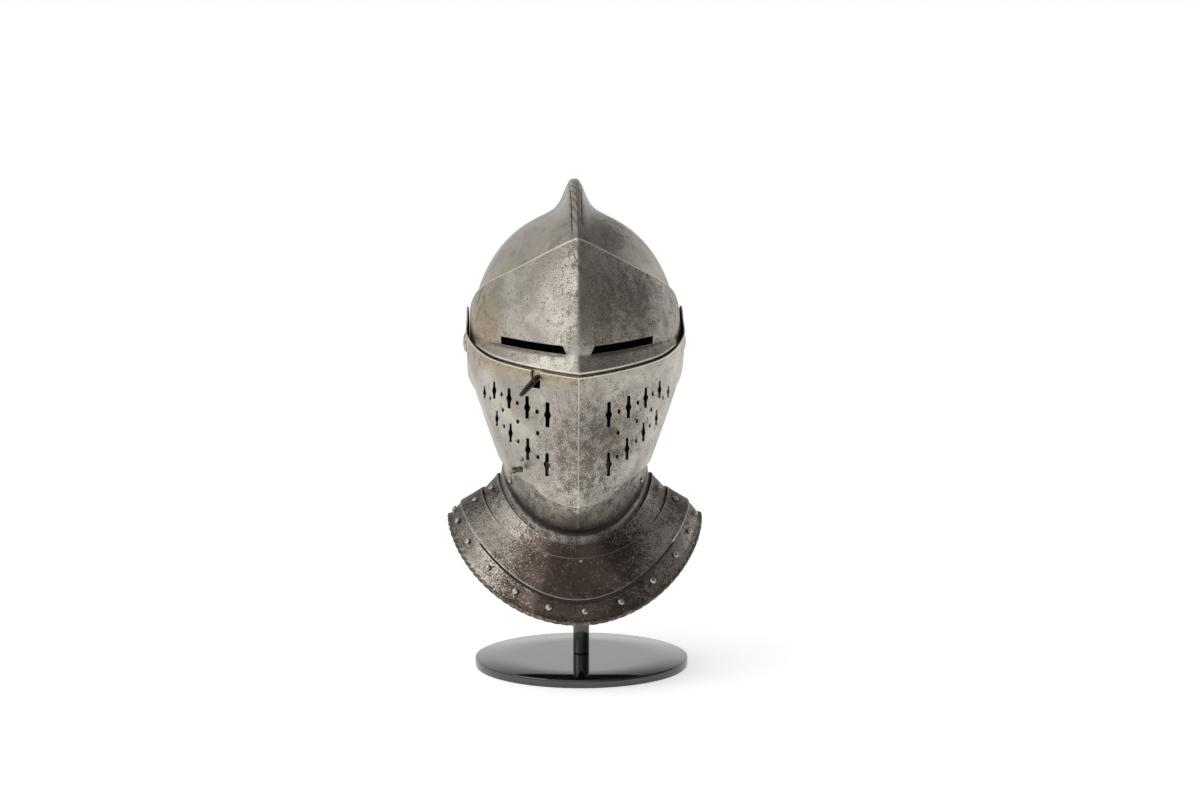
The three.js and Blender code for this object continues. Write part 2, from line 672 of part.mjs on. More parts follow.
// Lifting peg of the visor, standing out through the notch
const pegStart = upperPlace(PEG_X, PEG_Z);
const pegPlace = pegStart.p.clone().addScaledVector(pegStart.normal, -LIP_INSET + 1.8);
const peg = [
  [0, 0],
  [2.2, 0],
  [2.8, 4],
  [2.6, 16],
  [1.9, 25],
  [1.3, 26.5],
  [0, 27],
];
add(helmet, "visor_peg", turned(peg, pegPlace, PEG_WAY, 10), IRON);

// Peg and stud by the upper bevor's lower edge
const catchPlace = upperPlace(CATCH_X, CATCH_Z);
const catchWay = catchPlace.normal.clone().add(new THREE.Vector3(-1, 0, -0.1)).normalize();
const catchPeg = [
  [0, 2.6],
  [2.6, 2.6],
  [2.6, 9],
  [3.2, 10],
  [3.2, 13],
  [1.6, 14],
  [0, 14.2],
];
add(helmet, "upper_bevor_peg", turned(catchPeg, catchPlace.p, catchWay, 10), IRON);
rivet("upper_bevor_stud", upperPlace(STUD_X, STUD_Z), 2.2, IRON);

export default assembly;
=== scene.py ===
import math

import bpy
import numpy as np
from mathutils.geometry import delaunay_2d_cdt
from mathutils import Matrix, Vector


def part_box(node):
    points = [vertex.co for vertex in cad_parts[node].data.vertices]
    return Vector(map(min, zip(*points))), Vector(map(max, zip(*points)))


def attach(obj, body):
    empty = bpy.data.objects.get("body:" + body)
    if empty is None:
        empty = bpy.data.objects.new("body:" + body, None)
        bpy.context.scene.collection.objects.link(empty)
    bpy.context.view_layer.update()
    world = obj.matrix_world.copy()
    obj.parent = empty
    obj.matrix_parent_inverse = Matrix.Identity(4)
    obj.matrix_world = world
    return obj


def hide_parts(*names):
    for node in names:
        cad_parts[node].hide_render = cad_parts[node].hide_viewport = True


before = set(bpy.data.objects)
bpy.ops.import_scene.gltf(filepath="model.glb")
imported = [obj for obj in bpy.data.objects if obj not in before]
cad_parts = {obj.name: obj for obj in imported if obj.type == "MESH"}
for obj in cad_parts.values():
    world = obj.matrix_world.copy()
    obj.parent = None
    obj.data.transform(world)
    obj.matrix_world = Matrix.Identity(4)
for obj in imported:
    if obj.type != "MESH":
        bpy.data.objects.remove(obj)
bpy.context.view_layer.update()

# A worn steel close helmet on a black stand. Lengths below are millimetres about the helmet's pivots:
# x across, f forward, z up. The mesh builder places them in the shared frame, in metres.
MM = 0.001
HELMET_X = -6
PIVOT_Z = 297
PLATE = 1.5
CHAMFER = 0.35
CREASE = 38

# Skull
SKULL_WIDE = 93.4
SKULL_ROUND = 118
SKULL_POWER = 2.1
COMB_HEIGHT = 29
COMB_WIDE = 10.6
COMB_POWER = 3.2
CREST = SKULL_ROUND + COMB_HEIGHT
BROW_ANGLE = 28
TEMPLE_ANGLE = 45
FILE_PITCH = 15
FILE_SLANT = 2.6
COMB_LINE = 4.4
PIVOT_FLAT_FROM = 86
PIVOT_FLAT_SLOPE = 0.473
NAPE_DEEP = 76
NAPE_GAP = 6.4

# Keeled plates
KEEL_A = 1.15
KEEL_B = 2.2
VISOR_WIDE = 96.8
VISOR_KEEL = 150.6
VISOR_FLAT = 93.5
VISOR_REAR = -24
LEDGE = 5.5
SIGHT_FROM = 0.03
SIGHT_TO = 0.333
SIGHT_SLANT = 0.013
UPPER_FLAT = 96.6
UPPER_SIDE = 97.7
UPPER_FLARE = 1.9
UPPER_NARROWING = 0.375
UPPER_BEND = 28
UPPER_KEEL = 152.3
UPPER_REAR = -27
UPPER_WIDEST = 20
KEEL_TOP_Z = -16
KEEL_SLOPE = 0.3025
LIP_INSET = 3
BEVOR_REAR = -16
BEVOR_INSET = 2.4
BEVOR_DEEP = 78
UPPER_SWING = 35
UNROLLED = 180

# Visor rows by share of the way from the arm's rear end to the keel
VISOR_ROWS = {
    "share": (0, 0.05, 0.138, 0.282, 0.484, 0.668, 0.82, 0.945, 1),
    "low": (-6, -17, -20, -15, -7.5, -14.5, -18.5, -22, -24),
    "rim": (-2, -7, -9, -2, 3.5, -3, -7.5, -11, -12.5),
    "sill": (0, -2, 0, 5.5, 8, 7, 5, 3.2, 2.6),
    "brow": (2, 4, 8, 12, 14, 14.2, 12.5, 10.7, 10.1),
    "top": (6, 17, 31, 46, 59.5, 71, 84, 95.5, 100.3),
}
# Upper bevor edges by the same share
UPPER_ROWS = {
    "share": (
        0, 0.02, 0.05, 0.094, 0.151, 0.217, 0.292, 0.364,
        0.45, 0.551, 0.66, 0.765, 0.88, 0.94, 0.98, 1,
    ),
    "top": (6, 17, 25, 30, 32, 29, 20, 12, 6, 0, -5.5, -9, -12.5, -14.3, -15.5, -16),
    "low": (-6, -24, -42, -60, -76, -88, -94.5, -99, -102.5, -106, -110.5, -117, -128, -131, -132.3, -132.5),
}
# Bevor's upper edge and the fold under the chin
BEVOR_ROWS = {
    "share": (0, 0.05, 0.12, 0.17, 0.22, 0.3, 0.4, 0.5, 0.75, 1),
    "top": (10, 17, 21, 14, -8, -40, -58, -70, -88, -100),
    "chin": (-101, -101, -101, -101, -101.5, -102.5, -105.5, -109.5, -123, -139.5),
}
# Collar rings from the neck outwards
COLLAR_ROWS = {
    "ring": (0, 1, 2, 3, 4),
    "side": (65.5, 70.5, 85, 104, 114),
    "front": (88, 94, 102, 121, 129),
    "back": (78, 85, 97, 115, 124),
    "z_side": (-111, -120, -133, -146, -158),
    "z_front": (-160, -169, -179.5, -213.5, -231.5),
    "z_back": (-128, -137, -151, -183, -199),
    "power": (1.35, 1.35, 1.35, 1.8, 1.35),
}
# How far each ring of a collar plate is set in from the collar surface
LAME_SET = {"ring": (1, 1.5, 1.95, 2.3), "set": (0, 1, 2.4, 2.4)}
COLLAR_SET = {"ring": (2, 2.7, 2.97, 3.06, 3.75, 4), "set": (0, 0, -0.6, 0.8, 0.4, -1.4)}

# Breaths of one side: distance from the keel, height, length of a slot
SLOTS = (
    (26.6, -50.6, 23),
    (44, -45.6, 21),
    (59.5, -39.2, 19),
    (72.4, -33.8, 16.5),
    (81, -37.8, 12),
    (27, -96, 22),
    (43.5, -84, 21),
    (58.4, -71.2, 18),
    (70.3, -60, 15.5),
)
HOLES = (
    (35.5, -48.6),
    (52.4, -42.6),
    (66, -36.6),
    (76, -42),
    (35, -68),
    (52, -59.5),
    (65, -50.8),
    (34.7, -90),
    (51.7, -78),
    (64, -66),
)
SLOT_WIDE = 5
SLOT_LOBE = 8
HOLE_RADIUS = 2.4
NOTCH_X = -36.5
NOTCH_Z = -14

# Collar trimmings
ROPE_RADIUS = 2.3
ROPE_PITCH = 8.5
ROPE_DEPTH = 0.32
# The rope's bright marks: some painted highlight and wear.
ROPE_MARKS = {"rim": 0.35, "wear_and_sheen": 0.35, "inner": 0}
BORDER_RIVET = 3
PLATE_RIVET = 2.8
PLATE_RIVET_TURN = 80
PIN_RADIUS = 1.4
STUD_RADIUS = 2.2

BORDER_TURNS = (-88, -76, -62, -46, -30, -13.5, 3, 20, 37, 53, 68, 82)
REAR_TURNS = (108, 132, 156, 180, 204, 228, 252)


def ease(a, b, t):
    """Smooth step from 0 at a to 1 at b."""
    u = np.clip((np.asarray(t, float) - a) / (b - a), 0, 1)
    return u * u * (3 - 2 * u)


def mix(a, b, t):
    """Straight blend from a to b."""
    return a + (b - a) * t


def bump(t, width):
    """Bell curve of height 1 at 0."""
    return np.exp(-((t / width) ** 2))


def look_up(rows, column, at):
    """Monotone cubic through a table's column: tangents are harmonic means of the neighbouring slopes."""
    by = np.array(next(iter(rows.values())), float)
    values = np.array(rows[column], float)
    slope = np.diff(values) / np.diff(by)
    tangent = np.empty_like(values)
    tangent[0] = slope[0]
    tangent[-1] = slope[-1]
    a = slope[:-1]
    b = slope[1:]
    total = np.where(a + b == 0, 1, a + b)
    tangent[1:-1] = np.where(a * b <= 0, 0, 2 * a * b / total)
    at = np.asarray(at, float)
    i = np.clip(np.searchsorted(by, at) - 1, 0, len(by) - 2)
    h = by[i + 1] - by[i]
    t = np.clip((at - by[i]) / h, 0, 1)
    u = 1 - t
    ends = values[i] * u * u * (1 + 2 * t) + values[i + 1] * t * t * (3 - 2 * t)
    return ends + h * u * t * (tangent[i] * u - tangent[i + 1] * t)


def place(x, f, z):
    """Points of the shared orientation from distance across, forward and up."""
    return np.stack(np.broadcast_arrays(x, -np.asarray(f, float), z), -1).astype(float)


def both_ways(half):
    """A list of distances from 0 outwards, mirrored through 0."""
    half = np.asarray(half, float)
    return np.concatenate([-half[:0:-1], half])


# Plate forms
def upper_keel(z):
    """Keel of the bevors: straight down to KEEL_TOP_Z, then sloping back."""
    return UPPER_KEEL - KEEL_SLOPE * np.maximum(0, KEEL_TOP_Z - z)


def upper_wide(z):
    """Half width of the bevors: flaring above the pivots, narrowing in a hyperbola below."""
    above = UPPER_SIDE + UPPER_FLARE * ease(0, 20, z)
    below = UPPER_SIDE - UPPER_NARROWING * (np.hypot(z, UPPER_BEND) - UPPER_BEND)
    return np.where(z > 0, above, below)


def upper_half(f, z, inset=0):
    """Half width in side view: a superellipse from the widest station to the keel, flat at the pivots."""
    wide = upper_wide(z) - inset
    keel = upper_keel(z) - inset
    reach = np.clip((f - UPPER_WIDEST) / (keel - UPPER_WIDEST), 0, 1)
    back = np.maximum(0, UPPER_WIDEST - f) / 50
    x = wide * (1 - reach**KEEL_B) ** (1 / KEEL_A) * (1 - 0.03 * back * back)
    return mix(UPPER_FLAT - inset, x, ease(25, 48, np.hypot(f, z)))


def visor_keel(z):
    """Keel of the visor: an arc about the pivots above them, upright below."""
    return np.sqrt(VISOR_KEEL**2 - np.maximum(0, z) ** 2)


def visor_half(f, z):
    """Half width of the visor: a superellipse of the distance from the pivots."""
    q = np.clip(np.hypot(f, np.maximum(0, z)) / VISOR_KEEL, 0, 1)
    x = VISOR_WIDE * (1 - q**KEEL_B) ** (1 / KEEL_A)
    return mix(VISOR_FLAT, x, ease(18, 40, np.hypot(f, z)))


def skull_radius(x, angle):
    """Distance from the pivot axis: keeled at the brow, then a round bowl with a bell-shaped comb on it."""
    s = np.clip(np.abs(x) / SKULL_WIDE, 0, 1)
    front = CREST * (1 - s**KEEL_A) ** (1 / KEEL_B)
    comb = COMB_HEIGHT * (1 - ease(125, 195, angle)) / (1 + (np.abs(x) / COMB_WIDE) ** COMB_POWER)
    top = SKULL_ROUND * (1 - s**SKULL_POWER) ** (1 / SKULL_POWER) + comb
    return mix(front, top, ease(44, 85, angle))


def skull_across(x):
    """The bowl's sides pressed flatter where the pivots go through."""
    away = np.abs(x)
    pressed = PIVOT_FLAT_FROM + (away - PIVOT_FLAT_FROM) * PIVOT_FLAT_SLOPE
    return np.sign(x) * np.where(away < PIVOT_FLAT_FROM, away, pressed)


def file_cuts(along, x, reach):
    """Slanting file cuts across a crest: narrow bells at an even pitch, fading at reach from its middle."""
    phase = np.mod(along + FILE_SLANT * x, FILE_PITCH) - FILE_PITCH / 2
    return bump(phase, 0.9) * (1 - ease(0.6 * reach, reach, np.abs(x)))


def collar_point(ring, turn):
    """Collar surface: an ellipse a ring, dropping from the sides to the front and back by a power."""
    turn = np.radians(turn)
    s = np.sin(turn)
    c = np.cos(turn)
    front = c > 0
    reach = np.where(front, look_up(COLLAR_ROWS, "front", ring), look_up(COLLAR_ROWS, "back", ring))
    low = np.where(front, look_up(COLLAR_ROWS, "z_front", ring), look_up(COLLAR_ROWS, "z_back", ring))
    side_z = look_up(COLLAR_ROWS, "z_side", ring)
    z = side_z + (low - side_z) * np.abs(c) ** look_up(COLLAR_ROWS, "power", ring)
    return place(look_up(COLLAR_ROWS, "side", ring) * s, reach * c, z)


def unit(v):
    """Vectors scaled to length 1."""
    return v / np.maximum(np.linalg.norm(v, axis=-1, keepdims=True), 1e-9)


def collar(ring, turn, inset=0):
    """Point and outward normal of the collar, set in along the normal."""
    ring, turn, inset = np.broadcast_arrays(np.asarray(ring, float), np.asarray(turn, float), inset)
    around = collar_point(ring, turn + 1) - collar_point(ring, turn - 1)
    down = collar_point(np.minimum(4, ring + 0.05), turn) - collar_point(np.maximum(0, ring - 0.05), turn)
    normal = unit(np.cross(around, down))
    normal = np.where(normal[..., 2:] < 0, -normal, normal)
    return collar_point(ring, turn) - normal * inset[..., None], normal


# Mesh making
def grid_faces(rows, cols, keep=None):
    """Quads of a grid of points, less the cells that keep leaves out."""
    index = np.arange(rows * cols).reshape(rows, cols)
    quads = np.stack([index[:-1, :-1], index[:-1, 1:], index[1:, 1:], index[1:, :-1]], -1)
    return quads.reshape(-1, 4) if keep is None else quads[keep]


def grid_normals(points):
    """Normals of a grid from the central differences along its rows and columns, pointing out of the head."""
    across = unit(np.gradient(points, axis=1))
    along = unit(np.gradient(points, axis=0))
    normal = unit(np.cross(across, along))
    outward = np.sum(normal * (points - np.array([0, -20, -20])))
    return normal if outward > 0 else -normal


def plate(points, normals, faces, marks):
    """Closed plate: outer face, inner face set in along the normals, chamfered walls round every edge."""
    count = len(points)
    a = points[faces[:, 0]]
    turn = np.cross(points[faces[:, 1]] - a, points[faces[:, 2]] - a)
    if np.sum(turn * normals[faces[:, 0]]) < 0:
        faces = faces[:, ::-1]
    start = faces.ravel()
    end = np.roll(faces, -1, axis=1).ravel()
    open_edge = ~np.isin(start * count + end, end * count + start)
    start = start[open_edge]
    end = end[open_edge]
    away = np.zeros_like(points)
    step = np.cross(unit(points[end] - points[start]), normals[start])
    np.add.at(away, start, step)
    np.add.at(away, end, step)
    rim = np.unique(np.concatenate([start, end]))
    away = unit(away[rim]) * CHAMFER
    upper = points[rim] + away - normals[rim] * CHAMFER
    lower = points[rim] + away - normals[rim] * (PLATE - CHAMFER)
    inner = points - normals * PLATE
    ring = np.zeros(count, int)
    ring[rim] = np.arange(len(rim))
    first = 2 * count + ring
    second = first + len(rim)
    walls = [
        np.stack([end, start, first[start], first[end]], -1),
        np.stack([first[end], first[start], second[start], second[end]], -1),
        np.stack([second[end], second[start], start + count, end + count], -1),
    ]
    parts = [faces, faces[:, ::-1] + count, *walls]
    made = {name: np.concatenate([v, v, v[rim], v[rim]]) for name, v in marks.items()}
    # Every chamfer wall is marked fully bright: polished wear with a painted highlight on the edges.
    bright = marks.get("rim", np.zeros(count))
    made["rim"] = np.concatenate([bright, np.zeros(count), np.ones(2 * len(rim))])
    wall = [np.zeros(len(rim)), np.full(len(rim), 0.5)]
    made["inner"] = np.concatenate([np.zeros(count), np.ones(count), *wall])
    return np.concatenate([points, inner, upper, lower]), parts, made


def grid_plate(points, normals, marks, keep=None):
    """Closed plate from a grid of points, less the cells that keep leaves out."""
    faces = grid_faces(*points.shape[:2], keep)
    return plate(points.reshape(-1, 3), normals.reshape(-1, 3), faces, marks)


def round_faces(rings, sides):
    """Quads between rings of points, and a fan at each end to the two points that follow the rings."""
    index = np.arange(rings * sides).reshape(rings, sides)
    after = np.roll(index, -1, axis=1)
    quads = np.stack([index[:-1], after[:-1], after[1:], index[1:]], -1).reshape(-1, 4)
    low = np.full(sides, index.size)
    first = np.stack([after[0], index[0], low], -1)
    last = np.stack([index[-1], after[-1], low + 1], -1)
    return [quads, np.concatenate([first, last])]


def turned(profile, start, way, sides):
    """Round rod: radii at distances along a way, closed to a point at both ends."""
    way = unit(np.asarray(way, float))
    aside = unit(np.cross(way, [0.31, 0.17, 0.94]))
    other = np.cross(way, aside)
    profile = np.asarray(profile, float)
    angle = np.linspace(0, 2 * np.pi, sides, endpoint=False)
    circle = np.cos(angle)[:, None] * aside + np.sin(angle)[:, None] * other
    rings = profile[1:-1, 0, None, None] * circle + profile[1:-1, 1, None, None] * way
    ends = profile[[0, -1], 1, None] * way
    points = np.concatenate([rings.reshape(-1, 3), ends]) + start
    return points, round_faces(len(rings), sides)


def tube(path, aside, other, radius):
    """Tube along a path: a closed circle of varying radius at each point, with its ends capped by fans."""
    sides = radius.shape[1]
    angle = np.linspace(0, 2 * np.pi, sides, endpoint=False)[None, :, None]
    circle = np.cos(angle) * aside[:, None] + np.sin(angle) * other[:, None]
    rings = path[:, None] + radius[..., None] * circle
    points = np.concatenate([rings.reshape(-1, 3), path[[0, -1]]])
    return points, round_faces(len(rings), sides)


def joined(shapes):
    """Several shapes as one list of points and faces."""
    points = []
    faces = []
    total = 0
    for shape_points, shape_faces in shapes:
        points.append(shape_points)
        faces.extend(f + total for f in shape_faces)
        total += len(shape_points)
    return np.concatenate(points), faces


def piece(name, points, faces, finish, body, nodes, marks=None, at=(HELMET_X, 0, PIVOT_Z)):
    """Mesh object from arrays, riding on a body in place of its nodes."""
    points = (points + np.array(at)) * MM
    mesh = bpy.data.meshes.new(name)
    mesh.from_pydata(points.tolist(), [], [face for part in faces for face in part.tolist()])
    for mark, values in (marks or {}).items():
        mesh.attributes.new(mark, "FLOAT", "POINT").data.foreach_set("value", values.astype(np.float32))
    mesh.polygons.foreach_set("use_smooth", np.ones(len(mesh.polygons), bool))
    mesh.set_sharp_from_angle(angle=math.radians(CREASE))
    mesh.materials.append(finish)
    mesh.validate()
    made = bpy.data.objects.new(name, mesh)
    bpy.context.scene.collection.objects.link(made)
    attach(made, body)
    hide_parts(*nodes)


# Shader values
class Value:
    """A shader socket: arithmetic on it adds Math nodes to its finish."""

    def __init__(self, finish, socket):
        self.finish = finish
        self.socket = socket

    def math(self, operation, a, b):
        return self.finish.add("ShaderNodeMath", {"operation": operation}, {0: a, 1: b})

    def __add__(self, other):
        return self.math("ADD", self, other)

    def __radd__(self, other):
        return self.math("ADD", other, self)

    def __sub__(self, other):
        return self.math("SUBTRACT", self, other)

    def __rsub__(self, other):
        return self.math("SUBTRACT", other, self)

    def __mul__(self, other):
        return self.math("MULTIPLY", self, other)

    def __rmul__(self, other):
        return self.math("MULTIPLY", other, self)


class Finish:
    """A material's node tree, with one method that adds any node."""

    def __init__(self, tree):
        self.tree = tree
        tree.nodes.clear()

    def add(self, kind, settings=None, inputs=None, output=0):
        node = self.tree.nodes.new(kind)
        for key, value in (settings or {}).items():
            setattr(node, key, value)
        for key, value in (inputs or {}).items():
            if isinstance(value, Value):
                self.tree.links.new(value.socket, node.inputs[key])
            else:
                node.inputs[key].default_value = value
        return Value(self, node.outputs[output]) if node.outputs else node

    def mark(self, name):
        """A number kept on the mesh."""
        return self.add("ShaderNodeAttribute", {"attribute_name": name}, output="Fac")

    def noise(self, place, scale, detail=4, roughness=0.6, warp=0):
        """Noise of so many waves to the metre."""
        size = {"Vector": place, "Scale": scale}
        form = {"Detail": detail, "Roughness": roughness, "Distortion": warp}
        return self.add("ShaderNodeTexNoise", {}, size | form)

    def step(self, value, low, high):
        """Smooth step of a value from 0 at low to 1 at high."""
        return self.add(
            "ShaderNodeMapRange",
            {"interpolation_type": "SMOOTHSTEP"},
            {"Value": value, "From Min": low, "From Max": high},
        )

    def blend(self, share, a, b):
        """Colour from a to b by a share."""
        return self.add("ShaderNodeMix", {"data_type": "RGBA"}, {0: share, 6: a, 7: b}, 2)

    def stretch(self, place, scale):
        """Coordinates stretched along the axes."""
        return self.add("ShaderNodeMapping", {}, {"Vector": place, "Scale": scale})


def colour(r, g, b):
    """A linear colour with full alpha."""
    return (r, g, b, 1)


def material(name):
    """An empty material and its finish."""
    made = bpy.data.materials.new(name)
    made.use_nodes = True
    return made, Finish(made.node_tree)


def surface(finish, sockets):
    """Shader and output of a finish."""
    shader = finish.add("ShaderNodeBsdfPrincipled", {}, sockets)
    finish.add("ShaderNodeOutputMaterial", {}, {"Surface": shader})


def steel_finish(name, light, mid, warm_tint, dark, pit_level, rough):
    """Old polished plate: blotched grey, warm tarnish, patches of dark pits, painted shade and dark patches
    where marked, bright edges of polished wear with a painted highlight, soft waves.
    """
    made, finish = material(name)
    p = finish.add("ShaderNodeTexCoord", output="Object")
    clouds = finish.noise(p, 22, 5, 0.62, 0.4)
    mottle = finish.noise(p, 130, 4, 0.65)
    speck = finish.noise(p, 950, 3, 0.7)
    grain = finish.noise(finish.stretch(p, (700, 700, 90)), 1, 3, 0.6)
    rim = finish.mark("rim")
    inner = finish.mark("inner")
    pits = finish.mark("pits")
    warm = finish.mark("warm")
    sooty = finish.mark("soot")
    tone = finish.step(clouds * 0.65 + mottle * 0.35, 0.4, 0.6)
    body = finish.blend(tone, colour(*mid), colour(*light))
    tarnish = finish.step(clouds * 0.5 + mottle * 0.5 + warm * 0.5, 0.52, 0.98)
    body = finish.blend(tarnish, body, colour(*warm_tint))
    pitted = finish.step(speck * 0.6 + mottle * 0.4 + pits * 0.16, pit_level, pit_level + 0.14)
    body = finish.blend(pitted * 0.8, body, colour(*dark))
    # Painted shade: darkened where the plate's shade mark is set, in cuts and creases, under the sights,
    # behind other plates and on sides away from the key light; elsewhere plain dark patches.
    body = finish.blend(finish.step(sooty + mottle * 0.5, 0.35, 1.25), body, colour(*dark))
    # Bright edges: polished wear, with a painted highlight along edges, keels, folds and ridges.
    edge = finish.step(rim + mottle * 0.5, 0.55, 1.0)
    body = finish.blend(edge * 0.75, body, colour(0.72, 0.69, 0.64))
    body = finish.blend(inner * 0.85, body, colour(0.045, 0.04, 0.035))
    shine = rough + 0.22 * mottle + 0.1 * grain + 0.25 * pitted - 0.1 * edge + 0.2 * inner
    waves = finish.noise(p, 45, 2, 0.4)
    height = waves + mottle * 0.22 + grain * 0.03 - pitted * 0.14
    normal = finish.add("ShaderNodeBump", {}, {"Strength": 0.45, "Distance": 0.0011, "Height": height})
    surface(finish, {"Base Color": body, "Roughness": shine, "Metallic": 1.0, "Normal": normal})
    return made


def russet_finish(name):
    """Brown collar plate: dark russet with bright specks of bare steel, partly wear and partly a painted
    highlight gathered where the plate faces the lamps, and bright ridges and edges of wear with a painted
    highlight.
    """
    made, finish = material(name)
    p = finish.add("ShaderNodeTexCoord", output="Object")
    clouds = finish.noise(p, 26, 4, 0.6, 0.5)
    mottle = finish.noise(p, 160, 4, 0.7)
    speck = finish.noise(p, 700, 3, 0.75)
    rim = finish.mark("rim")
    inner = finish.mark("inner")
    wear_and_sheen = finish.mark("wear_and_sheen")
    tone = finish.step(clouds, 0.35, 0.65)
    brown = finish.blend(tone, colour(0.06, 0.043, 0.036), colour(0.12, 0.092, 0.078))
    # Bright specks: bare steel through the russet, and a painted highlight where the wear and sheen mark is
    # high.
    bright_specks = finish.step(speck * 0.7 + mottle * 0.3 + wear_and_sheen * 0.19 + clouds * 0.1, 0.6, 0.8)
    body = finish.blend(bright_specks * 0.85, brown, colour(0.5, 0.465, 0.42))
    # Painted highlight with some polished wear on the ridges and edges.
    edge = finish.step(rim + mottle * 0.5, 0.5, 1.0)
    body = finish.blend(edge * 0.45, body, colour(0.5, 0.46, 0.42))
    body = finish.blend(inner * 0.85, body, colour(0.04, 0.035, 0.03))
    shine = 0.34 + 0.25 * mottle - 0.12 * bright_specks - 0.06 * edge + 0.2 * inner
    height = clouds * 0.8 + mottle * 0.3 + speck * 0.12
    normal = finish.add("ShaderNodeBump", {}, {"Strength": 0.5, "Distance": 0.0009, "Height": height})
    surface(finish, {"Base Color": body, "Roughness": shine, "Metallic": 1.0, "Normal": normal})
    return made


def plain_metal(name, low, high, rough, spread, scale):
    """Small metal piece: two tones in a fine noise, which also roughens it."""
    made, finish = material(name)
    p = finish.add("ShaderNodeTexCoord", output="Object")
    tone = finish.step(finish.noise(p, scale, 4, 0.65), 0.35, 0.65)
    body = finish.blend(tone, colour(*low), colour(*high))
    normal = finish.add("ShaderNodeBump", {}, {"Strength": 0.3, "Distance": 0.0003, "Height": tone})
    shine = rough + spread * tone
    surface(finish, {"Base Color": body, "Roughness": shine, "Metallic": 1.0, "Normal": normal})
    return made


# Materials
STEEL = {
    "light": (0.50, 0.47, 0.425),
    "mid": (0.31, 0.285, 0.255),
    "warm_tint": (0.38, 0.31, 0.205),
    "dark": (0.1, 0.082, 0.066),
}
DULL_STEEL = STEEL | {"light": (0.43, 0.4, 0.362), "mid": (0.26, 0.238, 0.212)}
# A deeper dark for the bevor's painted shade behind the upper bevor and in the crease under the chin.
DEEP_SHADE_STEEL = STEEL | {"dark": (0.042, 0.036, 0.03)}
SKULL_STEEL = steel_finish("worn_steel_skull", **DULL_STEEL, pit_level=0.6, rough=0.22)
VISOR_STEEL = steel_finish("worn_steel_visor", **STEEL, pit_level=0.54, rough=0.24)
UPPER_STEEL = steel_finish("worn_steel_upper_bevor", **STEEL, pit_level=0.56, rough=0.22)
BEVOR_STEEL = steel_finish("worn_steel_bevor", **DEEP_SHADE_STEEL, pit_level=0.56, rough=0.24)
RUSSET = russet_finish("russet_collar")
RIVET = plain_metal("rivet_steel", (0.24, 0.22, 0.2), (0.48, 0.45, 0.41), 0.14, 0.16, 500)
PEG_STEEL = plain_metal("worn_peg", (0.11, 0.095, 0.08), (0.44, 0.41, 0.37), 0.2, 0.2, 260)
IRON = plain_metal("dark_iron", (0.035, 0.03, 0.025), (0.13, 0.11, 0.09), 0.3, 0.2, 400)
BLACK, black = material("black_stand")
surface(black, {"Base Color": colour(0.007, 0.007, 0.007), "Roughness": 0.05, "IOR": 1.8})

ROOT = "skull_and_stand"


# Skull
def skull_shape():
    """Bowl and comb by angle about the pivots, then straight down to the neck and out under the collar."""
    comb_side = np.linspace(0, 9, 19)
    comb_foot = np.linspace(9.6, 26, 22)
    bowl_side = np.linspace(28, 86, 36)
    widest = 93.35 - 7.35 * np.linspace(0.86, 0, 12) ** 2
    x = both_ways(np.concatenate([comb_side, comb_foot, bowl_side, widest]))[None, :]
    v = np.linspace(0, 1, 121)[:, None]
    first = mix(TEMPLE_ANGLE, BROW_ANGLE, ease(35, 90, skull_radius(x, 60.0)))
    angle = mix(first, 180, v)
    r = skull_radius(x, angle)
    along = np.radians(angle) * CREST
    comb = ease(30, 60, angle) * (1 - ease(150, 175, angle))
    cuts = file_cuts(along, x, 8)
    lines = bump(np.abs(x) - COMB_LINE - 2.2 * ease(60, 120, angle), 0.45)
    r = r - comb * (1.2 * cuts + 0.9 * lines)
    bowl = place(skull_across(x), r * np.cos(np.radians(angle)), r * np.sin(np.radians(angle)))
    turn = 180 - np.degrees(np.arcsin(x / SKULL_WIDE))
    neck, _ = collar(0, turn, BEVOR_INSET)
    down = np.linspace(0.02, 0.9, 45)[:, None]
    z = neck[..., 2] * down
    wide = upper_wide(z) - NAPE_GAP - 2.2 * (1 - ease(0, 70, -z))
    deep = mix(SKULL_ROUND, NAPE_DEEP, down**1.6)
    f = -deep * (1 - (np.abs(x) / SKULL_WIDE) ** SKULL_POWER) ** (1 / SKULL_POWER)
    level = place(skull_across(x), -bowl[-1:, :, 1], z)
    share = ease(0, 0.2, down)[..., None]
    body = mix(level, place(wide * x / SKULL_WIDE, np.minimum(f, -4), z), share)
    flare, _ = collar(np.linspace(0, 1.35, 24)[:, None], turn, 2 * BEVOR_INSET)
    points = np.concatenate([bowl, body, flare])
    groove = np.zeros(points.shape[:2])
    groove[: len(bowl)] = comb * np.maximum(cuts, 0.95 * lines)
    return points, groove


def marks_of(points, **regions):
    """The marks of a plate's finish, each flat and clipped to 0..1."""
    blank = np.zeros(points.shape[:-1])
    names = ("rim", "pits", "warm", "soot")
    return {name: np.clip(regions.get(name, blank) + blank, 0, 1).ravel() for name in names}


points, groove = skull_shape()
normals = grid_normals(points)
x, f, z = points[..., 0], -points[..., 1], points[..., 2]
marks = marks_of(
    points,
    pits=0.5 * bump(x - 30, 25) * bump(z - 100, 30) + 0.3,
    warm=0.3 * bump(z - 60, 40),
    # Painted shade in the file cuts and comb lines, and on the comb's right flank away from the key light.
    soot=groove + 0.62 * bump(x - 28, 22) * bump(z - 104, 30) * ease(-10, 30, f),
)
made, faces, marks = grid_plate(points, normals, marks)
piece("skull_plate", made, faces, SKULL_STEEL, ROOT, ["skull"], marks)


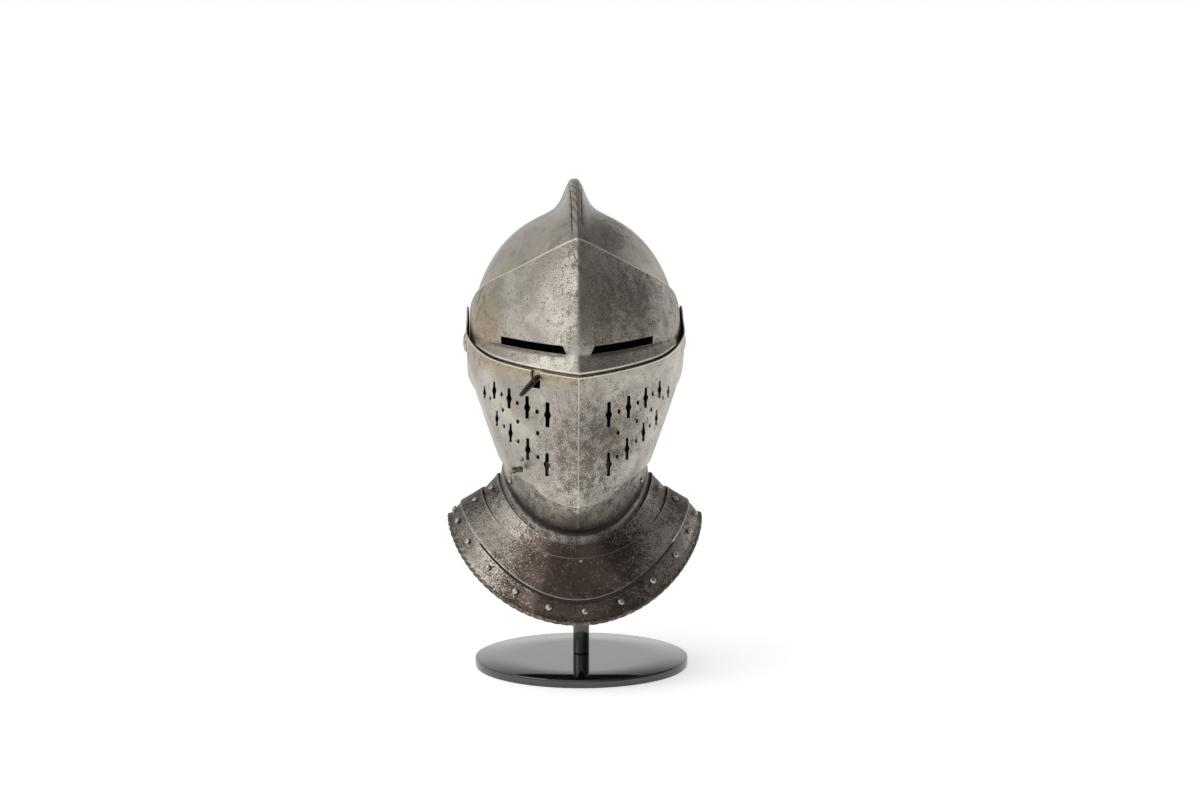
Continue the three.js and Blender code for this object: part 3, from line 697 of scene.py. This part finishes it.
# Visor
def visor_columns():
    """Stations from the keel outwards, close together at the keel and landing on the ends of the sights."""
    near = np.linspace(0, SIGHT_FROM, 12)
    sight = np.linspace(SIGHT_FROM, SIGHT_TO, 40)[1:]
    side = np.linspace(SIGHT_TO, 1, 76)[1:]
    return both_ways(np.concatenate([near, sight, side]))


def visor_rows(t, low, high, share, push, lip=False):
    """Rows between two edges of the visor's table, pushed out level from the pivots' axis."""
    station = 1 - np.abs(t)
    z = mix(look_up(VISOR_ROWS, low, station), look_up(VISOR_ROWS, high, station), share)
    keel = upper_keel(z) - LIP_INSET if lip else visor_keel(z)
    f = VISOR_REAR + (keel - VISOR_REAR) * station
    x = upper_half(f, z, LIP_INSET) if lip else visor_half(f, z)
    if lip:
        x = np.minimum(x, mix(VISOR_FLAT, x, ease(20, 40, np.hypot(f, z))))
    grow = 1 + push * ease(0.3, 0.62, station) / np.hypot(x, f)
    return place(np.sign(t) * x * grow, f * grow, z)


def lean(t, amount):
    """Stations drawn away from the keel near the inner ends of the sights, so that those ends slant."""
    return t + np.sign(t) * amount * bump(np.abs(t) - SIGHT_FROM, 0.02)


def visor_shape():
    """Lip behind the upper bevor, fold, ledge, sights and brow, with the fold rounded and the keel eased."""
    t = visor_columns()[None, :]
    lip = visor_rows(t, "low", "rim", np.linspace(0, 0.8, 9)[:, None], 0, True)
    fold = visor_rows(t, "rim", "sill", np.zeros((1, 1)), LEDGE)
    under = mix(lip[-1:], fold, np.linspace(0, 1, 7)[1:-1, None, None])
    s = np.linspace(0, 1, 15)[:, None]
    ledge = visor_rows(t, "rim", "sill", s, np.interp(s, (0, 0.45, 1), (LEDGE, 2, -1)))
    s = np.linspace(0, 1, 7)[1:-1, None]
    sight = visor_rows(lean(t, SIGHT_SLANT * s), "sill", "brow", s, s - 1)
    s = np.linspace(0, 1, 56)[:, None]
    brow = visor_rows(lean(t, SIGHT_SLANT * (1 - s) ** 6), "brow", "top", s, 0)
    points = np.concatenate([lip, under, ledge, sight, brow])
    bend = len(lip) + len(under)
    for _ in range(3):
        near = slice(bend - 3, bend + 4)
        points[near] = (points[bend - 4 : bend + 3] + 2 * points[near] + points[bend - 2 : bend + 5]) / 4
    x, f, z = points[..., 0], -points[..., 1], points[..., 2]
    angle = np.arctan2(z, f)
    cuts = file_cuts(angle * CREST, x, 7) * ease(62, 74, z)
    ease_keel = 0.25 * bump(x, 1.0)
    inward = (ease_keel + 0.7 * cuts) / np.hypot(f, z)
    points = place(x, f * (1 - inward), z * (1 - inward))
    gap = len(lip) + len(under) + len(ledge) - 1
    keep = np.ones((points.shape[0] - 1, points.shape[1] - 1), bool)
    middle = np.abs((t[0, 1:] + t[0, :-1]) / 2)
    keep[gap : gap + len(sight) + 1, (middle > SIGHT_FROM) & (middle < SIGHT_TO)] = False
    return points, keep, cuts, bend, gap


points, keep, cuts, bend, sill_row = visor_shape()
normals = grid_normals(points)
x, f, z = points[..., 0], -points[..., 1], points[..., 2]
row = np.arange(points.shape[0])[:, None]
# Painted highlight along the fold at the foot of the ledge.
fold = bump(row - bend, 1.6) * ease(20, 60, f)
# Painted shade under the sights, in the hollow of the ledge.
under_sights = 0.75 * bump(row - sill_row + 1, 3) * ease(60, 90, f) * ease(4, 14, np.abs(x))
# Painted shade on the right facet, away from the key light.
right_facet_shade = 0.35 * ease(0, 20, x) * bump(x - 30, 22) * bump(z - 50, 30)
marks = marks_of(
    points,
    # Painted highlight along the fold and the keel, and a bright top edge.
    rim=0.75 * fold + 0.35 * bump(x, 1.0) * (f > 60) + bump(row - (points.shape[0] - 1), 1.2),
    pits=0.45 + 0.55 * ease(-5, 25, x) * (1 - ease(55, 76, x)) * bump(z - 45, 45) - 0.2 * bump(x + 40, 25),
    warm=(0.9 * bump(x + 80, 14) + 0.15 * bump(x - 60, 20)) * bump(z - 25, 30) + 0.8 * (row < bend - 1),
    # Painted shade in the file cuts, under the sights and on the right facet.
    soot=cuts + under_sights + right_facet_shade,
)
made, faces, marks = grid_plate(points, normals, marks, keep)
piece("visor_plate", made, faces, VISOR_STEEL, "visor", ["visor"], marks)


# Upper bevor
def upper_forward(x, z):
    """Forward place of a point of the face from its distance across, by halving."""
    near = np.full(np.shape(x), float(UPPER_WIDEST))
    far = upper_keel(z)
    for _ in range(40):
        middle = (near + far) / 2
        inside = upper_half(middle, z) > x
        near = np.where(inside, middle, near)
        far = np.where(inside, far, middle)
    return near


def unroll(x, z):
    """Flat place of a point of the face: its share of the way from keel to arm's end, and its height."""
    f = upper_forward(np.abs(x), z)
    share = (f - UPPER_REAR) / (upper_keel(z) - UPPER_REAR)
    return np.stack([np.sign(x) * (1 - share) * UNROLLED, z], -1)


def roll(flat):
    """Point of the face from its flat place."""
    share = 1 - np.abs(flat[:, 0]) / UNROLLED
    z = flat[:, 1]
    f = UPPER_REAR + (upper_keel(z) - UPPER_REAR) * share
    x = np.sign(flat[:, 0]) * upper_half(f, z)
    f = f - 0.5 * bump(x, 1.0)
    return place(x, f, z)


def outline_on_face(outline, x, z):
    """A flat outline laid on the face with its middle at a distance across and a height."""
    away = abs(x)
    ends = upper_forward(np.array([away + 0.5, away - 0.5]), np.array([z, z]))
    slope = 1 / math.hypot(1, ends[0] - ends[1])
    across = outline[:, 0] * slope
    return unroll(np.sign(x) * np.maximum(away + across, 0.1), z + outline[:, 1])


def slot_outline(length):
    """A long slot with square ends and a small cross at its middle."""
    w = SLOT_WIDE / 2
    h = length / 2
    b = SLOT_LOBE / 2
    corner = [(w - 0.5, h), (w, h - 0.6), (w, b * 1.1), (w * 1.15, b * 0.65), (b, b * 0.3)]
    right = np.array(corner + [(px, -py) for px, py in reversed(corner)])
    return np.concatenate([right, -right])


def round_outline(radius, sides=16):
    """A round breath."""
    angle = np.linspace(0, 2 * np.pi, sides, endpoint=False)
    return np.stack([radius * np.cos(angle), radius * np.sin(angle)], -1)


def notch_outline():
    """A notch open at the top, rounded at its foot and flaring in quarter circles at the edge."""
    q = np.linspace(0, np.pi / 2, 6)
    foot = np.stack([3 + 2 * np.cos(-q[::-1]), -12 + 2 * np.sin(-q[::-1])], -1)
    lip = np.stack([8 - 3 * np.cos(q), 2.6 + 3 * np.sin(q)], -1)
    right = np.concatenate([foot, lip, [(8, 12)]])
    left = right[::-1] * (-1, 1)
    return np.concatenate([right, left])


def within(flat, outline):
    """Whether flat points lie inside an outline, by counting crossings."""
    a = outline[None]
    b = np.roll(outline, -1, axis=0)[None]
    p = flat[:, None]
    over = (a[..., 1] > p[..., 1]) != (b[..., 1] > p[..., 1])
    rise = np.where(b[..., 1] == a[..., 1], 1, b[..., 1] - a[..., 1])
    at = a[..., 0] + (p[..., 1] - a[..., 1]) / rise * (b[..., 0] - a[..., 0])
    return (over & (p[..., 0] < at)).sum(1) % 2 == 1


def upper_shape():
    """The face unrolled flat, triangulated round its breaths and its notch, and rolled up again."""
    half = np.concatenate([np.linspace(0, 4, 8)[:-1], np.linspace(4, 178, 82), [179.2, 179.9]])
    flat_x = both_ways(half)
    share = 1 - np.abs(flat_x) / UNROLLED
    top = look_up(UPPER_ROWS, "top", share)
    low = look_up(UPPER_ROWS, "low", share)
    v = np.linspace(0, 1, 62)[:, None]
    flat = np.stack(np.broadcast_arrays(flat_x, mix(low, top, v)), -1)
    rows, cols = flat.shape[:2]
    index = np.arange(rows * cols).reshape(rows, cols)
    border = np.concatenate([index[0], index[1:, -1], index[-1, -2::-1], index[-2:0:-1, 0]])
    cut_away = []
    for side in (-1, 1):
        cut_away += [outline_on_face(slot_outline(length), side * px, pz) for px, pz, length in SLOTS]
        cut_away += [outline_on_face(round_outline(HOLE_RADIUS), side * px, pz) for px, pz in HOLES]
    cut_away.append(outline_on_face(notch_outline(), NOTCH_X, NOTCH_Z))
    vertices = [tuple(p) for p in flat.reshape(-1, 2).tolist()]
    edges = list(zip(border.tolist(), np.roll(border, -1).tolist()))
    for outline in cut_away:
        first = len(vertices)
        vertices += [tuple(p) for p in outline.tolist()]
        ids = np.arange(first, first + len(outline))
        edges += list(zip(ids.tolist(), np.roll(ids, -1).tolist()))
    spots, _, triangles, *_ = delaunay_2d_cdt(vertices, edges, [], 0, 1e-5)
    spots = np.array([tuple(p) for p in spots])
    triangles = np.array(triangles)
    centre = spots[triangles].mean(1)
    share = 1 - np.abs(centre[:, 0]) / UNROLLED
    below = centre[:, 1] < look_up(UPPER_ROWS, "top", share) + 0.05
    above = centre[:, 1] > look_up(UPPER_ROWS, "low", share) - 0.05
    solid = below & above
    for outline in cut_away:
        lo = outline.min(0)
        hi = outline.max(0)
        near = np.flatnonzero(solid & np.all((centre >= lo) & (centre <= hi), 1))
        solid[near] &= ~within(centre[near], outline)
    triangles = triangles[solid]
    used, triangles = np.unique(triangles, return_inverse=True)
    return spots[used], triangles.reshape(-1, 3)


flat, faces = upper_shape()
points = roll(flat)
step = 0.3
span = roll(flat + (step, 0)) - roll(flat - (step, 0))
rise = roll(flat + (0, step)) - roll(flat - (0, step))
normals = unit(np.cross(span, rise))
x, z = points[:, 0], points[:, 2]
share = 1 - np.abs(flat[:, 0]) / UNROLLED
from_top = look_up(UPPER_ROWS, "top", share) - z
from_low = z - look_up(UPPER_ROWS, "low", share)
marks = marks_of(
    points,
    # Painted highlight along the top and lower edges and the keel.
    rim=0.8 * bump(from_top, 1.2) + 0.55 * bump(from_low, 0.9) + 0.6 * bump(x, 0.8),
    pits=0.3 + 0.9 * bump(x - 6, 34) * bump(z + 85, 48) + 0.3 * bump(x - 45, 18) * bump(z + 55, 25),
    warm=0.7 * bump(from_top, 14) * ease(-20, 10, -x) + 0.6 * bump(x - 32, 10) * bump(z + 75, 25),
    # Darker patches to the right of the keel among the breaths.
    soot=0.5 * bump(x - 30, 8) * bump(z + 70, 18) + 0.3 * bump(x - 18, 16) * bump(z + 62, 14),
)
made, faces, marks = plate(points, normals, faces, marks)
piece("upper_bevor_plate", made, faces, UPPER_STEEL, "upper_bevor", ["upper_bevor"], marks)


# Bevor
def bevor_half(f, z):
    """Half width inside the upper bevor, and inside every part of it that swings over this place."""
    r = np.hypot(f, z)
    x = upper_half(f, z, BEVOR_INSET + 2.7 * (1 - ease(30, 90, r)))
    for back in (7, 14, 21, 28, UPPER_SWING):
        angle = np.arctan2(z, f) - math.radians(back)
        there_f = r * np.cos(angle)
        there_z = r * np.sin(angle)
        share = (there_f - UPPER_REAR) / (upper_keel(there_z) - UPPER_REAR)
        low = look_up(UPPER_ROWS, "low", np.clip(share, 0, 1))
        cover = np.where(share > 0, ease(-8, 2, there_z - low), 0)
        x = np.minimum(x, mix(x, upper_half(there_f, there_z, BEVOR_INSET + 0.4), cover))
    return x


def bevor_shape():
    """Face from the upper edge to the fold under the chin, then the neck and its flare under the collar."""
    t = both_ways(np.concatenate([np.linspace(0, 0.03, 8)[:-1], np.linspace(0.03, 1, 78)]))[None, :]
    share = 1 - np.abs(t)
    v = np.linspace(0, 1, 61)[:, None]
    z = mix(look_up(BEVOR_ROWS, "top", share), look_up(BEVOR_ROWS, "chin", share), v)
    f = BEVOR_REAR + (upper_keel(z) - BEVOR_INSET - BEVOR_REAR) * share
    face = place(np.sign(t) * bevor_half(f, z), f, z)
    chin = face[-1]
    ahead = -chin[:, 1] / (upper_keel(chin[:, 2]) - BEVOR_INSET)
    reach = np.where(chin[:, 1] < 0, ahead, -chin[:, 1] / BEVOR_DEEP)
    turn = np.sign(t[0]) * np.degrees(np.arccos(np.clip(reach, -1, 1)))
    ring = np.linspace(0, 1.3, 30)[:, None]
    flare, _ = collar(ring, turn[None], BEVOR_INSET * ease(0, 0.9, ring))
    under = mix(chin[None], flare[:1], np.linspace(0, 1, 12)[1:-1, None, None])
    points = np.concatenate([face, under, flare])
    for _ in range(6):
        near = slice(len(face) - 4, len(face) + len(under) + 6)
        before = points[near.start - 1 : near.stop - 1]
        after = points[near.start + 1 : near.stop + 1]
        points[near] = (before + 2 * points[near] + after) / 4
    x, f, z = points[..., 0], -points[..., 1], points[..., 2]
    return place(x, f - 0.9 * bump(x, 1.6) * ease(60, 90, f), z), len(face)


points, fold_row = bevor_shape()
normals = grid_normals(points)
x = points[..., 0]
row = np.arange(points.shape[0])[:, None]
# Painted shade: the face behind the upper bevor is darkened so that the breaths look black.
covered = 1 - ease(fold_row - 17, fold_row - 11, row)
# Painted highlight on the flare of the neck towards the sides.
bright_specks = 0.45 * bump(row - fold_row - 22, 5) * ease(8, 40, np.abs(x))
marks = marks_of(
    points,
    # Painted highlight along the keel and on the flare.
    rim=0.6 * bump(x, 1.0) * (row < fold_row + 8) + bright_specks,
    pits=0.75,
    warm=0.3 * bump(row - fold_row, 10),
    # Painted shade behind the upper bevor and in the crease under the chin, and a little darker over the neck
    # and flare.
    soot=covered + 0.95 * bump(row - fold_row - 12, 5) + 0.22 * ease(14, 24, row - fold_row) + 0.12,
)
made, faces, marks = grid_plate(points, normals, marks)
piece("bevor_plate", made, faces, BEVOR_STEEL, "bevor", ["bevor"], marks)
neck_points = points.reshape(-1, 3)
neck_normals = normals.reshape(-1, 3)


# Collar
def collar_plate(rows, first, last, rings, turns):
    """A band of the collar between two turns, each ring set in as its table says."""
    ring = np.linspace(rows["ring"][0], rows["ring"][-1], rings)[:, None]
    turn = np.linspace(first, last, turns)[None, :]
    set_in = np.interp(ring, rows["ring"], rows["set"]) + 0 * turn
    points, _ = collar(ring, turn, set_in)
    normals = grid_normals(points)
    normals = np.where(normals[..., 2:] < 0, -normals, normals)
    return points, normals, ring + 0 * turn, turn + 0 * ring


def rope(first, last, turns):
    """Roped edge: a roll along the outermost ring, its radius notched by cuts that wind round it."""
    turn = np.linspace(first, last, turns)
    path, normal = collar(4, turn, 0.4)
    along = unit(np.gradient(path, axis=0))
    aside = unit(np.cross(along, normal))
    length = np.concatenate([[0], np.cumsum(np.linalg.norm(np.diff(path, axis=0), axis=1))])
    angle = np.linspace(0, 2 * np.pi, 14, endpoint=False)
    wave = 0.5 + 0.5 * np.cos(2 * np.pi * length[:, None] / ROPE_PITCH + 2 * angle)
    return tube(path, aside, np.cross(along, aside), ROPE_RADIUS * (1 - ROPE_DEPTH * wave**4))


def collar_piece(name, rows, span, rings, turns, body, node, roped):
    """One collar plate with its marks of wear and painted highlight, and its roped edge where it has one."""
    points, normals, ring, turn = collar_plate(rows, *span, rings, turns)
    face = np.cos(np.radians(turn))
    # Wear, and a painted highlight gathered on the front's shoulders where the lamps reflect; the rear half
    # gets an even amount.
    wear_and_sheen = 0.08 + 0.92 * bump(np.abs(turn) - 54, 24) * (face > 0) + 0.4 * (face <= 0)
    # Painted highlight along the raised ridge and the plate's inner edge.
    ridge = bump(ring - 2.97, 0.035) * 0.8 + bump(ring - rows["ring"][0], 0.03)
    marks = {"rim": np.clip(ridge, 0, 1).ravel(), "wear_and_sheen": np.clip(wear_and_sheen, 0, 1).ravel()}
    made, faces, marks = grid_plate(points, normals, marks)
    if roped:
        cord = rope(*span, 900)
        made, faces = joined([(made, faces), cord])
        for mark, level in ROPE_MARKS.items():
            marks[mark] = np.concatenate([marks[mark], np.full(len(cord[0]), level)])
    piece(name, made, faces, RUSSET, body, [node], marks)


collar_piece("front_lame", LAME_SET, (-97, 97), 30, 180, "bevor", "gorget_front_lame", False)
collar_piece("front_collar", COLLAR_SET, (-96, 96), 110, 200, "bevor", "gorget_front_plate", True)
collar_piece("rear_lame", LAME_SET, (98.5, 261.5), 30, 150, ROOT, "gorget_rear_lame", False)
collar_piece("rear_collar", COLLAR_SET, (97.5, 262.5), 110, 170, ROOT, "gorget_rear_plate", True)


# Rivets and bolts
def dome(radius):
    """Rivet head: a low dome on a short straight foot."""
    a = np.linspace(0, np.pi / 2, 8)
    top = np.stack([radius * np.cos(a), 0.7 + (0.72 * radius - 0.7) * np.sin(a)], -1)
    return np.concatenate([[(0, 0.25), (radius * 0.97, 0.25)], top])


def rivet(start, way, radius):
    """A rivet head standing on a plate."""
    return turned(dome(radius), start, way, 20)


def border_rivets(turns):
    """Rivet heads round the sunk border."""
    spots = [collar(3.45, turn, -0.3) for turn in turns]
    return [rivet(p, n, BORDER_RIVET) for p, n in spots]


rear_names = [f"rivet_rear_border_{i + 1}" for i in range(len(REAR_TURNS))]
points, faces = joined(border_rivets(REAR_TURNS))
piece("rear_rivets", points, faces, RIVET, ROOT, rear_names)

front_names = [f"rivet_front_border_{i + 1}" for i in range(len(BORDER_TURNS))]
front = border_rivets(BORDER_TURNS)
for side, word in ((-1, "right"), (1, "left")):
    for ring in (1.5, 2.35):
        front.append(rivet(*collar(ring, side * PLATE_RIVET_TURN, -0.2), PLATE_RIVET))
    front_names += [f"rivet_front_lame_{word}", f"rivet_front_plate_{word}"]
front.append(rivet(*collar(2.12, 2, -0.1), PIN_RADIUS))
front_names.append("pin_front")
for side, word in ((-1, "right"), (1, "left")):
    low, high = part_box(f"rivet_neck_{word}")
    middle = (np.array(low) + np.array(high)) / 2 / MM - (HELMET_X, 0, PIVOT_Z)
    nearest = np.argmin(np.linalg.norm(neck_points - middle, axis=1))
    front.append(rivet(neck_points[nearest], neck_normals[nearest], PLATE_RIVET))
    front_names.append(f"rivet_neck_{word}")
points, faces = joined(front)
piece("front_rivets", points, faces, RIVET, "bevor", front_names)

for side, word in ((-1, "right"), (1, "left")):
    a = np.linspace(0, np.pi / 2, 9)
    head = np.stack([9 * np.cos(a), UPPER_FLAT + 1.2 + 3 * np.sin(a)], -1)
    nut = [(0, 83), (7.6, 83), (8, 83.4), (8, 86.2), (7.6, 86.6)]
    shank = [(4, 86.6), (4, UPPER_FLAT + 0.5), (8.8, UPPER_FLAT + 0.5)]
    points, faces = turned(np.concatenate([nut, shank, head]), np.zeros(3), (side, 0, 0), 40)
    piece(f"bolt_{word}", points, faces, RIVET, ROOT, [f"pivot_bolt_{word}"])


# Pegs
def on_upper(x, z):
    """Point of the upper bevor's face and its level normal."""
    away = np.array([abs(x), abs(x) + 0.5, abs(x) - 0.5])
    f = upper_forward(away, np.full(3, float(z)))
    normal = unit(np.array([np.sign(x) * (f[2] - f[1]), -1.0, 0]))
    return place(x, f[0], z), normal


start, normal = on_upper(-35, -17)
profile = [(0, 0), (2.2, 0), (2.7, 3), (2.8, 6), (2.6, 16), (2.2, 21), (1.9, 25), (1.4, 26.5), (0, 27)]
points, faces = turned(profile, start + normal * (1.8 - LIP_INSET), (-0.57, -0.62, -0.54), 24)
piece("lifting_peg", points, faces, IRON, "visor", ["visor_peg"])

start, normal = on_upper(-45.5, -102.5)
way = normal + np.array([-1, 0, -0.1])
foot = [(0, 2.6), (2.4, 2.6), (2.6, 3), (2.5, 8.6)]
knob = [(3, 9.6), (3.2, 11), (3.1, 12.6), (2.2, 13.8), (0, 14.2)]
points, faces = turned(foot + knob, start, way, 24)
piece("small_peg", points, faces, PEG_STEEL, "upper_bevor", ["upper_bevor_peg"])

start, normal = on_upper(-48.5, -94)
points, faces = rivet(start, normal, STUD_RADIUS)
piece("small_stud", points, faces, PEG_STEEL, "upper_bevor", ["upper_bevor_stud"])

# Stand
disc = [(0, 0), (96.1, 0), (97.1, 0.4), (97.5, 1.4), (97.5, 6.6), (97.1, 7.6), (96.1, 8), (60, 8), (0, 8)]
points, faces = turned(disc, np.zeros(3), (0, 0, 1), 160)
piece("disc", points, faces, BLACK, ROOT, ["stand_base"], at=(0, 0, 0))
r = np.linspace(18, 0, 8)
pad = np.stack([r, PIVOT_Z + np.sqrt(113**2 - r * r)], -1)
rod = [(0, 8.3), (7.1, 8.3), (7.5, 8.8), (7.5, 395), (17.4, 404.6), (18, 405.6)]
points, faces = turned(np.concatenate([rod, pad]), (0, 10, 0), (0, 0, 1), 48)
piece("rod", points, faces, BLACK, ROOT, ["stand_post"], at=(0, 0, 0))

# Camera
CAMERA_TURN = -2.0
CAMERA_PITCH = 6.926
CAMERA_AWAY = 2.2
CAMERA_HEIGHT = 0.5116
CAMERA_SIDE = 0.017
CAMERA_LENS = 73.33
turn = math.radians(CAMERA_TURN)
camera = bpy.data.objects.new("camera", bpy.data.cameras.new("camera"))
camera.data.lens = CAMERA_LENS
camera.data.sensor_width = 36
camera.data.clip_end = 100
camera.location = (
    CAMERA_AWAY * math.sin(turn) + CAMERA_SIDE * math.cos(turn),
    -CAMERA_AWAY * math.cos(turn) + CAMERA_SIDE * math.sin(turn),
    CAMERA_HEIGHT,
)
camera.rotation_euler = (math.radians(90 - CAMERA_PITCH), 0, turn)
bpy.context.scene.collection.objects.link(camera)
bpy.context.scene.camera = camera


# Floor and light
def soft_box(name, spot, aim, size, power):
    """A square studio light."""
    lamp = bpy.data.lights.new(name, "AREA")
    lamp.shape = "RECTANGLE"
    lamp.size, lamp.size_y = size
    lamp.energy = power
    made = bpy.data.objects.new(name, lamp)
    made.location = spot
    made.visible_camera = False
    back = unit(np.array(spot) - np.array(aim))
    made.rotation_euler = (math.acos(back[2]), 0, math.atan2(back[0], -back[1]))
    bpy.context.scene.collection.objects.link(made)


soft_box("key_left", (-1.6, -0.9, 1.3), (0, 0, 0.28), (1.6, 1.8), 13)
soft_box("back_right", (1.5, 1.0, 0.9), (0, 0, 0.3), (1.0, 1.6), 2)
soft_box("top", (0, 0.2, 2.2), (0, 0, 0.2), (2.0, 2.0), 3)

floor_mesh = bpy.data.meshes.new("floor")
floor_mesh.from_pydata([(-30, -30, 0), (30, -30, 0), (30, 30, 0), (-30, 30, 0)], [], [(0, 1, 2, 3)])
floor = bpy.data.objects.new("floor", floor_mesh)
bpy.context.scene.collection.objects.link(floor)
paper, finish = material("pale_floor")
pale = {"Base Color": colour(0.92, 0.92, 0.92), "Roughness": 0.6, "Specular IOR Level": 0.1}
glow = {"Emission Color": colour(1, 1, 1), "Emission Strength": 0.57}
surface(finish, pale | glow)
floor_mesh.materials.append(paper)

world = bpy.data.worlds.new("studio")
world.use_nodes = True
bpy.context.scene.world = world
sky = Finish(world.node_tree)
way = sky.add("ShaderNodeTexCoord", output="Generated")
aside = sky.add("ShaderNodeVectorMath", {"operation": "DOT_PRODUCT"}, {0: way, 1: (0.93, 0.1, 0.35)}, "Value")
tone = sky.blend(sky.step(aside, -0.25, 0.7), colour(0.74, 0.73, 0.71), colour(0.19, 0.18, 0.17))
behind = sky.add("ShaderNodeVectorMath", {"operation": "DOT_PRODUCT"}, {0: way, 1: (0.1, 1, 0)}, "Value")
height = sky.add("ShaderNodeSeparateXYZ", {}, {0: way}, 2)
wall = sky.step(behind, 0.35, 0.85) * (1 - sky.step(height, 0.2, 0.5))
tone = sky.blend(wall, tone, colour(0.95, 0.95, 0.95))
seen = sky.add("ShaderNodeLightPath", output="Is Camera Ray")
tone = sky.blend(seen, tone, colour(1, 1, 1))
light = sky.add("ShaderNodeBackground", {}, {"Color": tone, "Strength": 1.0})
sky.add("ShaderNodeOutputWorld", {}, {"Surface": light})
bpy.context.scene.view_settings.view_transform = "Standard"
